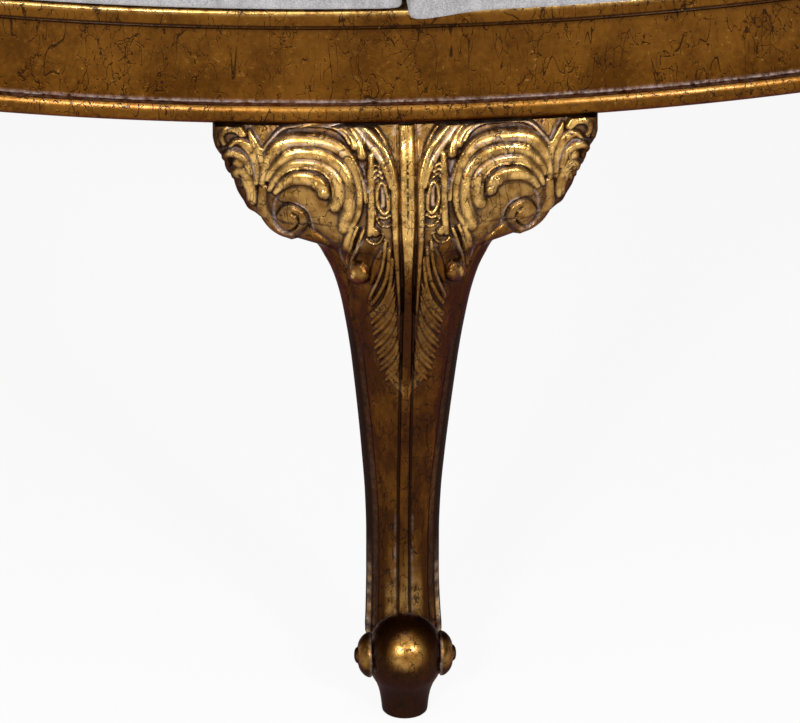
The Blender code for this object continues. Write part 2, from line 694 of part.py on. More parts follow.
def make_pads():
    """Buttoned back pads: a quilted front on a plain curved back."""
    shares = [2 * share - 1 for share in steps(PAD_COLUMNS)]
    levels = pad_levels()
    bm = bmesh.new()
    front = [[bm.verts.new(pad_point(level, share, pad_thickness(level, share))) for share in shares]
             for level in levels]
    seams = [[bm.verts.new(pad_point(level, share, 0.0)) for level in levels] for share in (shares[0], shares[-1])]
    inner = [[bm.verts.new(pad_point(level, share, 0.0)) for level in (levels[0], levels[-1])]
             for share in shares[1:-1]]
    back = [seams[0], *inner, seams[1]]
    for lower, upper in zip(front, front[1:]):
        for index in range(PAD_COLUMNS):
            bm.faces.new((lower[index], lower[index + 1], upper[index + 1], upper[index]))
    for left, right in zip(back, back[1:]):
        bm.faces.new(left + right[::-1])
    for row in (0, -1):
        for index in range(PAD_COLUMNS):
            bm.faces.new((front[row][index], front[row][index + 1], back[index + 1][row], back[index][row]))
    for seam, end in zip(seams, (0, -1)):
        for row in range(len(levels) - 1):
            bm.faces.new((front[row][end], front[row + 1][end], seam[row + 1], seam[row]))
    quilt = mesh_from(bm, "back_pad", 60)
    place_ring("back_pad", combine("back_pad", quilt, back_buttons(), "UNION"), VELVET, SEAT_ANGLE / 2)


def back_buttons():
    """A covered button in every tuft, its stem drawn into the hollow."""
    bm = bmesh.new()
    bmesh.ops.create_cone(bm, cap_ends=True, segments=BUTTON_FACETS, radius1=BACK_BUTTON_STEM,
                          radius2=BACK_BUTTON_RADIUS, depth=BACK_BUTTON_HEIGHT + SINK)
    bmesh.ops.translate(bm, vec=(0, 0, (BACK_BUTTON_HEIGHT - SINK) / 2), verts=bm.verts)
    bmesh.ops.rotate(bm, cent=(0, 0, 0), matrix=Matrix.Rotation(BUTTON_TURN, 3, "Z"), verts=bm.verts)
    button = mesh_from(bm, "back_button")
    copies = []
    for row, level in enumerate(tuft_levels()):
        for share in tuft_places(row):
            seat = pad_point(level, share, pad_thickness(level, share))
            outward = Vector((seat.x, seat.y, 0.0)).to_track_quat("Z", "Y").to_matrix().to_4x4()
            copies.append(moved(button, Matrix.Translation(seat) @ outward))
    return copies


# Crown

def make_crown():
    """A gilded turned ring that caps the pads, and a low domed pad inside it."""
    bottom = COLUMN_TOP + CLEARANCE
    outer = COLUMN_TOP_RADIUS + PAD_EDGE + CROWN_OVERHANG
    inner = outer - CROWN_WIDTH
    bead = CROWN_BEAD / 2
    profile = [(inner, bottom + CROWN_HEIGHT), (inner + CROWN_BEAD, bottom + CROWN_HEIGHT)]
    for share in steps(3):
        turn = share * math.pi / 2
        reach = outer - bead - inner - CROWN_BEAD
        profile.append((outer - bead - reach * math.cos(turn) * 0.8,
                        bottom + CROWN_BEAD + (CROWN_HEIGHT - 1.3 * CROWN_BEAD) * (1 - math.sin(turn))))
    for share in steps(3):
        turn = share * math.pi
        profile.append((outer - bead + bead * math.sin(turn), bottom + bead + bead * math.cos(turn)))
    profile.append((inner, bottom))
    place("crown_ring", turned("crown_ring", profile, ROUND_FACETS, closed=True), GILT)
    rim = inner * math.cos(math.pi / ROUND_FACETS) - CLEARANCE
    dome = [(0.0, bottom + TOP_PAD_HEIGHT + TOP_PAD_CROWN)]
    for share in steps(3)[1:]:
        turn = share * math.pi / 2
        dome.append((rim * math.sin(turn), bottom + TOP_PAD_HEIGHT + TOP_PAD_CROWN * math.cos(turn)))
    dome += [(rim, bottom), (0.0, bottom)]
    place("top_pad", turned("top_pad", dome, ROUND_FACETS), VELVET)


clear_scene()
parts = collection("baroque_round_sofa")
cutters = collection("cutters")
make_rail()
make_leg_bolts()
make_legs()
make_glides()
make_bearers()
make_decks()
make_dust_cover()
make_cushions()
make_column_frame()
make_pads()
make_crown()
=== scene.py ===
# %% [markdown]
# # A round baroque lobby sofa
# A ring of velvet seats runs round a buttoned column, on six carved and gilded cabriole legs. The
# photograph is a close view of one leg, the moulded rail above it and the lower edge of two cushions, so
# those three get most of the work here, and the rest follows in the same finishes. The imported model comes
# first. Every piece below is worked out from it, in metres, with Z up and the first leg towards -Y. The
# box of the bare model is kept, and its size is printed at the end.

# %% Load the imported model
import json
import math

import bmesh
import bpy
import numpy as np
from mathutils import Matrix, Vector

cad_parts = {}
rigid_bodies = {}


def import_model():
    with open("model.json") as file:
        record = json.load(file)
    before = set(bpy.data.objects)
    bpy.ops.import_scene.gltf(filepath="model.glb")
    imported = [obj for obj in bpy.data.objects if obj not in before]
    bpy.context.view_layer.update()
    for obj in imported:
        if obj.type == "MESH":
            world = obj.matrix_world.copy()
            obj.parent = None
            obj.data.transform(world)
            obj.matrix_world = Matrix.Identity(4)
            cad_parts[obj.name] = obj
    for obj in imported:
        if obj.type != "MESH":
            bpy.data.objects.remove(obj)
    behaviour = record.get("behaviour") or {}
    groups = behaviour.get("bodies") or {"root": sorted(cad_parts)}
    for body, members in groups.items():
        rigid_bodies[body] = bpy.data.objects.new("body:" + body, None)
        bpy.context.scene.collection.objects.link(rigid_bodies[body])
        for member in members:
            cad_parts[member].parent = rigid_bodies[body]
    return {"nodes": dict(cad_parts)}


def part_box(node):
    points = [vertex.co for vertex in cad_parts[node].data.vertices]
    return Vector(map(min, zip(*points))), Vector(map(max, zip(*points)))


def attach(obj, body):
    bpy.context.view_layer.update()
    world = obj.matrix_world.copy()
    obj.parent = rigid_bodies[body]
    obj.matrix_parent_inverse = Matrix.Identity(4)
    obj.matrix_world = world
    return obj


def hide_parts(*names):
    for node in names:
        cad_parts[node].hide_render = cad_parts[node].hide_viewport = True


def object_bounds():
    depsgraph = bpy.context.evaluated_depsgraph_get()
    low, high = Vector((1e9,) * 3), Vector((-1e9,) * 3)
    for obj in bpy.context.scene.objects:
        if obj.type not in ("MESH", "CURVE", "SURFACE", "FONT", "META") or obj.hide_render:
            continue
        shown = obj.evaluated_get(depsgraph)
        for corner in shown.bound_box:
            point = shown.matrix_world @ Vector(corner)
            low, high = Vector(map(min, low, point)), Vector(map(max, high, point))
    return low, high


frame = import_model()
cad_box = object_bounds()
scene = bpy.context.scene
scene.view_settings.view_transform = "Standard"
SEATS = 6
SEAT_ANGLE = math.tau / SEATS
RAIL_RADIUS = cad_box[1].x
RAIL_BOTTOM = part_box("rail_section_1")[0].z
RAIL_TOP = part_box("rail_section_1")[1].z
LEG_BOTTOM, LEG_TOP = (corner.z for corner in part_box("leg_1"))
print(f"{len(frame['nodes'])} nodes, rail radius {RAIL_RADIUS:.3f}, leg {LEG_BOTTOM:.4f} to {LEG_TOP:.4f}")

# %% [markdown]
# ## The camera
# The photograph looks down on the leg a little, from far away, so its upright lines stay parallel. The
# lens follows from the distance and from how many millimetres one pixel covers on the leg, and the camera
# is aimed at the middle of the picture on the leg's own plane.

# %% Camera
PICTURE_WIDTH, PICTURE_HEIGHT = 800, 723
PIXEL_SIZE = 0.0004327
CAMERA_DISTANCE = 6.0
CAMERA_HEIGHT_ANGLE = math.radians(26.5)
CAMERA_SIDE_ANGLE = math.radians(-3.3)
AIM_SIDEWAYS = -0.0027
AIM_HEIGHT = 0.1764
AIM_SETBACK = 0.003
SENSOR_WIDTH = 36


def direction_from(side_angle, height_angle):
    """A unit vector from the sofa's front leg out into the room."""
    flat = math.cos(height_angle)
    return Vector((math.sin(side_angle) * flat, -math.cos(side_angle) * flat, math.sin(height_angle)))


camera = bpy.data.objects.new("camera", bpy.data.cameras.new("camera"))
scene.collection.objects.link(camera)
camera_back = direction_from(CAMERA_SIDE_ANGLE, CAMERA_HEIGHT_ANGLE)
camera_right = Vector((math.cos(CAMERA_SIDE_ANGLE), math.sin(CAMERA_SIDE_ANGLE), 0))
camera_up = camera_back.cross(camera_right)
aim = Vector((0, -(RAIL_RADIUS - AIM_SETBACK), AIM_HEIGHT)) + camera_right * AIM_SIDEWAYS
camera.location = aim + camera_back * CAMERA_DISTANCE
camera.rotation_euler = camera_back.to_track_quat("Z", "Y").to_euler()
camera.data.sensor_width = SENSOR_WIDTH
camera.data.lens = CAMERA_DISTANCE / PIXEL_SIZE / PICTURE_WIDTH * SENSOR_WIDTH
camera.data.clip_end = 60
scene.camera = camera
print(f"camera with a {camera.data.lens:.0f} mm lens, {CAMERA_DISTANCE} m from the leg")

# %% [markdown]
# ## Writing finishes as sums
# A finish is a node tree, and a tree drawn by hand is hard to read. Here one small class wraps an output
# socket, so that `1 - mask` or `hollow * 0.5` adds the Math nodes by itself, and a second class holds the
# material and has one method that adds any other node.

# %% Helpers for finishes
class Shade:
    """One output in a finish; sums written with it add Math nodes."""

    def __init__(self, finish, socket):
        self.finish = finish
        self.socket = socket

    def maths(self, operation, *values):
        return self.finish.node("ShaderNodeMath", {"operation": operation}, dict(enumerate(values)))

    def __add__(self, other):
        return self.maths("ADD", self, other)

    def __radd__(self, other):
        return self.maths("ADD", other, self)

    def __sub__(self, other):
        return self.maths("SUBTRACT", self, other)

    def __rsub__(self, other):
        return self.maths("SUBTRACT", other, self)

    def __mul__(self, other):
        return self.maths("MULTIPLY", self, other)

    def __rmul__(self, other):
        return self.maths("MULTIPLY", other, self)

    def size(self):
        return self.maths("ABSOLUTE", self)

    def step(self, low, high):
        """0 below low, 1 above high and a smooth rise between; low may be the larger, for a fall."""
        first, last = (0.0, 1.0) if low < high else (1.0, 0.0)
        ranges = {0: self, 1: min(low, high), 2: max(low, high), 3: first, 4: last}
        return self.finish.node("ShaderNodeMapRange", {"interpolation_type": "SMOOTHSTEP"}, ranges)

    def held(self):
        """Kept between 0 and 1."""
        return self.finish.node("ShaderNodeClamp", {}, {0: self, 1: 0.0, 2: 1.0})


class Finish:
    """A material whose nodes are added one line at a time."""

    def __init__(self, name):
        self.material = bpy.data.materials.new(name)
        self.material.use_nodes = True
        self.tree = self.material.node_tree
        self.surface = self.tree.nodes["Principled BSDF"]
        self.place = self.node("ShaderNodeTexCoord", {}, {}, "Object")

    def node(self, kind, settings, inputs, output=0):
        made = self.tree.nodes.new(kind)
        for name, value in settings.items():
            setattr(made, name, value)
        self.fill(made, inputs)
        return Shade(self, made.outputs[output])

    def fill(self, made, inputs):
        for name, value in inputs.items():
            if isinstance(value, Shade):
                self.tree.links.new(value.socket, made.inputs[name])
            else:
                made.inputs[name].default_value = value

    def noise(self, scale, detail=3.0, roughness=0.55, at=None, output=0):
        inputs = {"Vector": at or self.place, "Scale": scale, "Detail": detail, "Roughness": roughness}
        return self.node("ShaderNodeTexNoise", {}, inputs, output)

    def stretched(self, scale, turn=(0, 0, 0), at=None):
        inputs = {"Vector": at or self.place, "Scale": scale, "Rotation": turn}
        return self.node("ShaderNodeMapping", {}, inputs)

    def blend(self, share, first, second):
        """A colour part of the way from the first to the second."""
        colours = {0: share}
        for index, colour in ((6, first), (7, second)):
            colours[index] = colour if isinstance(colour, Shade) else (*colour, 1.0)
        return self.node("ShaderNodeMix", {"data_type": "RGBA"}, colours, 2)

    def bump(self, height, distance, strength):
        inputs = {"Height": height, "Distance": distance, "Strength": strength}
        return self.node("ShaderNodeBump", {}, inputs)

    def shader(self, inputs):
        self.fill(self.surface, inputs)
        return self.material


print("helpers for finishes are ready")

# %% [markdown]
# ## Antique gilding
# The wood is gilded over a red-brown clay ground and then aged: a brown wash dulls the flats, worn ridges
# shine, pale lilac-grey dust stays in the grooves, and thin dark cracks branch over the gold. The same
# colours also paint light: painted shade darkens grooves, bevels, sides and undersides, painted highlights
# brighten listed lines and faces, and a pale painted sheen runs along some edges. Leaf, wash, clay and dust
# follow the carving, so each gilded mesh carries a point colour called "carving": red is how hollow the
# place is and how much painted shade it takes, green how much it is rubbed and painted bright as a
# highlight, blue how far it is washed brown and darkened as painted shade, alpha the dust and the painted
# sheen.
# The cracks are the edges of a warped Voronoi pattern, broken up by a slow noise so that only some show.

# %% Gilding
# The rubbed colour also paints highlights, the wash and clay colours shade, the dust colour a pale sheen.
LEAF_DEEP = (0.102, 0.034, 0.0020)
LEAF_GOLD = (0.215, 0.082, 0.0080)
LEAF_RUBBED_AND_HIGHLIT = (0.80, 0.46, 0.115)
BROWN_WASH_AND_SHADE = (0.046, 0.0135, 0.0008)
CLAY_GROUND_AND_SHADE = (0.018, 0.0058, 0.0018)
LILAC_DUST_AND_SHEEN = (0.43, 0.345, 0.325)
CRACK_BROWN = (0.017, 0.0058, 0.0013)
GRAZING_BROWN = (0.42, 0.27, 0.16, 1.0)
CRACK_CORE = 0.3
BRANCHING_CRACKS = ((80, 0.014, 0.52, 36), (230, 0.038, 0.51, 60))
STRAYING_CRACKS = ((95, 0.009, 0.47, 62), (260, 0.016, 0.49, 90))


def branching_cracks(finish, scale, width, cover, patch_scale):
    """Thin lines that branch, in patches: 1 on a crack and 0 beside it."""
    warp = finish.noise(scale * 1.7, 3.0, 0.6, output="Color")
    drawn = finish.node("ShaderNodeVectorMath", {"operation": "MULTIPLY_ADD"},
                        {0: warp, 1: (0.6 / scale,) * 3, 2: finish.place})
    cells = finish.node("ShaderNodeTexVoronoi", {"feature": "DISTANCE_TO_EDGE"},
                        {"Vector": finish.stretched((1, 1, 0.6), at=drawn), "Scale": scale}, "Distance")
    patches = finish.noise(patch_scale, 3.0, 0.6).step(cover, cover + 0.05)
    return cells.step(width, width * CRACK_CORE) * patches


def straying_cracks(finish, scale, width, cover, patch_scale):
    """Thin lines that wander, mostly upright, in patches of their own."""
    field = finish.noise(scale, 1.0, 0.5, at=finish.stretched((1, 1, 0.26), (0.35, 0.2, 0)))
    off = (field - 0.5).size()
    turned_place = finish.stretched((1, 1, 1), (0.9, 0.4, 0.3))
    patches = finish.noise(patch_scale, 4.0, 0.65, at=turned_place).step(cover, cover + 0.04)
    return off.step(width, width * CRACK_CORE) * patches


def gilding():
    finish = Finish("antique_gilding")
    # Painted highlights come in the rubbed share, painted shade in the hollow and washed shares.
    worked, dust_and_sheen_lie = (finish.node("ShaderNodeAttribute", {"attribute_name": "carving"}, {}, output)
                        for output in ("Color", "Alpha"))
    hollow_and_shade, rubbed_and_highlit, wash_and_shade = (finish.node("ShaderNodeSeparateColor", {}, {0: worked}, index)
                              for index in range(3))
    mottle = finish.noise(38, 5.0, 0.62)
    wear = finish.noise(190, 4.0, 0.62)
    streaks = finish.noise(70, 4.0, 0.65, at=finish.stretched((1, 1, 0.22), (0.05, 0.12, 0)))
    bared = finish.noise(150, 4.0, 0.66).step(0.53, 0.66) * rubbed_and_highlit.step(0.1, 0.35)
    rubbed_and_highlit = (rubbed_and_highlit * (0.45 + wear.step(0.36, 0.60))).held()
    fine = finish.noise(420, 3.0, 0.6)
    flecks = finish.noise(1500, 2.0, 0.5)
    leaf = finish.blend((mottle * 0.8 + fine * 0.35).step(0.40, 0.74), LEAF_DEEP, LEAF_GOLD)
    leaf = finish.blend(rubbed_and_highlit, leaf, LEAF_RUBBED_AND_HIGHLIT)
    leaf = finish.blend(bared * 0.6, leaf, LEAF_DEEP)
    wash = wash_and_shade * (1.5 - streaks.step(0.38, 0.66) * 0.72 - wear * 0.4)
    leaf = finish.blend(wash.held(), leaf, BROWN_WASH_AND_SHADE)
    leaf = finish.blend((hollow_and_shade * (0.75 + fine * 0.6)).held(), leaf, CLAY_GROUND_AND_SHADE)
    veins = sum(branching_cracks(finish, *crack) for crack in BRANCHING_CRACKS)
    veins = veins + sum(straying_cracks(finish, *crack) for crack in STRAYING_CRACKS)
    specks = flecks.step(0.66, 0.74) * 0.6 + finish.noise(760, 2.0, 0.5).step(0.66, 0.73) * 0.7
    marks = (veins * fine.step(0.34, 0.46) + specks).held()
    leaf = finish.blend(marks * 0.85, leaf, CRACK_BROWN)
    glints = fine.step(0.62, 0.72) * flecks.step(0.48, 0.62)
    leaf = finish.blend(glints * 0.3 * (1 - wash_and_shade * 0.85), leaf, LEAF_RUBBED_AND_HIGHLIT)
    dust_and_sheen = (dust_and_sheen_lie * (fine * 2.4 + wear * 1.6 - 1.45)).held()
    leaf = finish.blend(dust_and_sheen * 0.9, leaf, LILAC_DUST_AND_SHEEN)
    height = fine * 0.35 + flecks * 0.18 - marks * 0.5
    return finish.shader({
        "Base Color": leaf,
        "Metallic": 1.0 - dust_and_sheen * 0.9,
        "Roughness": (0.29 + mottle * 0.14 + hollow_and_shade * 0.2 + (dust_and_sheen + marks) * 0.3 - rubbed_and_highlit * 0.10).held(),
        "Specular Tint": GRAZING_BROWN,
        "Coat Weight": (0.09 + rubbed_and_highlit * 0.7 * (1 - wash_and_shade * 0.8)).held(),
        "Coat Roughness": 0.22,
        "Normal": finish.bump(height, 0.0004, 0.5),
    })


gilt = gilding()
print(f"{gilt.name}: {len(gilt.node_tree.nodes)} nodes")

# %% [markdown]
# ## Velvet
# The cushions are pale silver-grey velvet. Its pile catches light at a grazing angle, which is the
# shader's sheen, and it lies in short brushed strokes of slightly lighter and darker grey, with a fine
# grain of single tufts.

# %% Velvet
VELVET_SHADE = (0.235, 0.226, 0.232)
VELVET_LIGHT = (0.430, 0.413, 0.415)


def velvet_pile(name, dark, light):
    finish = Finish(name)
    brushed = finish.noise(42, 5.0, 0.65, at=finish.stretched((1, 1, 0.5), (0.3, 0.2, 0.6)))
    strokes = finish.noise(240, 4.0, 0.7, at=finish.stretched((1, 1, 0.35), (0.3, 0.5, 0.0)))
    tufts = finish.noise(1900, 2.0, 0.6)
    lie = brushed * 0.36 + strokes * 0.5 + (tufts - 0.5) * 0.9 + 0.08
    return finish.shader({
        "Base Color": finish.blend(lie.step(0.32, 0.72), dark, light),
        "Roughness": 0.92,
        "Specular IOR Level": 0.15,
        "Sheen Weight": 0.55,
        "Sheen Roughness": 0.35,
        "Normal": finish.bump(tufts * 0.6 + strokes * 0.9, 0.0006, 0.6),
    })


velvet = velvet_pile("silver_velvet", VELVET_SHADE, VELVET_LIGHT)
print(f"{velvet.name}: {len(velvet.node_tree.nodes)} nodes")

# %% [markdown]
# ## Small helpers for meshes
# Most shapes below are worked out as arrays of points. These helpers turn points and faces into a mesh,
# store the "carving" colour on its points, turn a copy into its place in the ring of six, and add the
# finished piece to the sofa: every piece rides on the one body, takes its material and hides the solid it
# stands for.

# %% Helpers for meshes
MM = 0.001


def paint(mesh, carving):
    """Stores how hollow, rubbed, washed and dusty each point is, painted shade and highlights included."""
    layer = mesh.attributes.new("carving", "FLOAT_COLOR", "POINT")
    layer.data.foreach_set("color", np.asarray(carving, np.float32).ravel())


def mesh_from_points(name, points, faces, carving=None, sharp=None):
    mesh = bpy.data.meshes.new(name)
    mesh.from_pydata(np.asarray(points, float).tolist(), [], faces)
    if carving is not None:
        paint(mesh, carving)
    mesh.shade_smooth()
    if sharp:
        mesh.set_sharp_from_angle(angle=math.radians(sharp))
    mesh.update()
    return mesh


def face_outwards(mesh):
    bm = bmesh.new()
    bm.from_mesh(mesh)
    bmesh.ops.recalc_face_normals(bm, faces=bm.faces)
    bm.to_mesh(mesh)
    bm.free()
    return mesh


def read_points(mesh):
    points = np.empty(len(mesh.vertices) * 3)
    mesh.vertices.foreach_get("co", points)
    return points.reshape(-1, 3)


def write_points(mesh, points):
    mesh.vertices.foreach_set("co", np.asarray(points, np.float32).ravel())
    mesh.update()


def add_piece(name, mesh, finish, stands_for=()):
    mesh.materials.clear()
    mesh.materials.append(finish)
    made = bpy.data.objects.new(name, mesh)
    scene.collection.objects.link(made)
    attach(made, "root")
    if stands_for:
        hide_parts(*stands_for)
    return made


def add_ring(name, mesh, finish, node, first=0.0):
    """Six copies turned round the ring from the first one's place, each standing for its own solid."""
    made = []
    for index in range(SEATS):
        copy = mesh.copy()
        copy.transform(Matrix.Rotation((index + first) * SEAT_ANGLE, 4, "Z"))
        made.append(add_piece(f"{name}_{index + 1}", copy, finish, [f"{node}_{index + 1}"]))
    return made


def grid_faces(rows, columns, closed=False):
    """Quads between neighbouring rows of points."""
    last = columns if closed else columns - 1
    row, column = np.meshgrid(np.arange(rows - 1), np.arange(last), indexing="ij")
    after = (column + 1) % columns
    quads = np.stack([row * columns + column, row * columns + after,
                      (row + 1) * columns + after, (row + 1) * columns + column], -1)
    return quads.reshape(-1, 4).tolist()


def smooth_step(low, high, values):
    share = np.clip((values - low) / (high - low), 0, 1)
    return share * share * (3 - 2 * share)


def dip(off, reach):
    """1 where off is nothing, falling to 0 at the reach."""
    return np.clip(1 - (off / reach) ** 2, 0, 1)


def strongest(*fields):
    """The largest of several fields at each place."""
    return np.max(np.broadcast_arrays(*fields), axis=0)


def from_line(x, y, start, end):
    """How far along a straight line each place lies, from 0 to 1, and how far off it."""
    (x0, y0), (x1, y1) = start, end
    dx, dy = x1 - x0, y1 - y0
    along = np.clip(((x - x0) * dx + (y - y0) * dy) / (dx * dx + dy * dy), 0, 1)
    return along, np.hypot(x - x0 - along * dx, y - y0 - along * dy)


print("helpers for meshes are ready")

# %% [markdown]
# ## The cabriole leg's block
# Before any carving the leg is a sawn block: an S from the side, and from the front two broad ears that
# fall to a slim shaft. Each level has a half width, how far its front stands before the rail's edge, its
# depth, and how far the front's edges fall back from the middle. The levels are set from the
# photograph, in millimetres, and a curve that never overshoots runs through them.

# %% Levels of the leg
EAR_WIDTHS = (
    (290, 82.9), (284, 82.9), (279, 82.0), (275.2, 79.9), (273.4, 78.2), (269.2, 77.7), (266.4, 76.6),
    (264.8, 74.2), (261.8, 73.8), (256.8, 72.4), (252.0, 69.8), (248.4, 67.9), (247.9, 67.0),
    (247.5, 64.0), (245.2, 62.7), (241.2, 59.9), (237.8, 55.9), (235.4, 50.4), (234.0, 44.6),
    (230.8, 38.6), (225, 35.0), (219, 32.0), (211, 29.4), (203.8, 27.7), (194, 26.0), (185, 24.6),
    (175, 23.3), (164, 22.1), (142, 19.9), (121, 18.1), (100, 16.6), (80, 16.0), (61, 16.0), (43, 16.5),
    (36, 16.9), (28, 14.8), (14, 12.0),
)
LEG_PROFILE = (
    (290, -3, 43, 5), (282, 2, 48, 10), (270, 6, 52, 14), (258, 9, 54, 18), (249, 11, 55, 20),
    (239, 12, 56, 22), (231, 12, 56, 21.5), (219, 11, 55, 19), (208, 9, 53, 17), (190, 4, 49, 14),
    (165, -3, 45, 11), (140, -10, 42, 9), (110, -17, 38, 8), (80, -21, 36, 7), (58, -21.5, 33.5, 7),
    (42, -19, 31, 6), (28, -14, 27, 5), (14, -11, 19, 4),
)
LEVEL_RUNS = ((290, 228, 140), (228, 160, 96), (160, 14, 50))
EDGE_ROUND = 2.4
MIDRIB_ZONE = 4.0
MIDRIB_POINTS = 13
OUTER_POINTS = 142


def through(places, knots, values):
    """A smooth curve through given values that never overshoots them."""
    order = np.argsort(knots)
    knot = np.asarray(knots, float)[order]
    value = np.asarray(values, float)[order]
    gap = np.diff(knot)
    slope = np.diff(value) / gap
    tangent = np.concatenate([slope[:1], np.zeros(len(value) - 2), slope[-1:]])
    same = np.nonzero(slope[:-1] * slope[1:] > 0)[0]
    tangent[same + 1] = 2 * slope[same] * slope[same + 1] / (slope[same] + slope[same + 1])
    span = np.clip(np.searchsorted(knot, places) - 1, 0, len(gap) - 1)
    t = (places - knot[span]) / gap[span]
    start = (1 + 2 * t) * (1 - t) ** 2 * value[span] + t * (1 - t) ** 2 * gap[span] * tangent[span]
    end = t ** 2 * (3 - 2 * t) * value[span + 1] + t ** 2 * (t - 1) * gap[span] * tangent[span + 1]
    return start + end


def mirrored(half, sign=1):
    """The left half and its mirror image, sharing the middle column."""
    return np.hstack([half, sign * half[:, -2::-1]])


def surface_out(points, upright=1.0):
    """Unit vectors that stand out from a grid of points; a small upright share keeps them nearly level."""
    down, along = np.gradient(points, axis=0), np.gradient(points, axis=1)
    out = np.cross(along, -down)
    out[..., 2] *= upright
    return out / np.linalg.norm(out, axis=-1, keepdims=True)


level_runs = [np.linspace(*run) for run in LEVEL_RUNS]
levels = np.concatenate(level_runs[:1] + [run[1:] for run in level_runs[1:]])
half_width = through(levels, *zip(*EAR_WIDTHS))
profile_levels, *profile_values = zip(*LEG_PROFILE)
front, depth, fall = (through(levels, profile_levels, values) for values in profile_values)
rib_zone = np.minimum(MIDRIB_ZONE, half_width / 4)[:, None]
outer_share = 1 - (1 - np.arange(1, OUTER_POINTS + 1) / OUTER_POINTS) ** 1.15
outer_part = rib_zone + (half_width[:, None] - rib_zone) * outer_share
off_middle = np.hstack([rib_zone * np.linspace(0, 1, MIDRIB_POINTS), outer_part])[:, ::-1]
edge_distance = half_width[:, None] - off_middle
edge_fall = EDGE_ROUND - np.sqrt(EDGE_ROUND ** 2 - np.clip(EDGE_ROUND - edge_distance, 0, EDGE_ROUND) ** 2)
block_front = front[:, None] - fall[:, None] * (off_middle / half_width[:, None]) ** 2 - edge_fall
across = mirrored(-off_middle, -1)
block = np.stack([across, -mirrored(block_front), np.broadcast_to(levels[:, None], across.shape)], -1)
block_out = surface_out(block, 0.35)
print(f"leg block: {len(levels)} levels of {across.shape[1]} points")
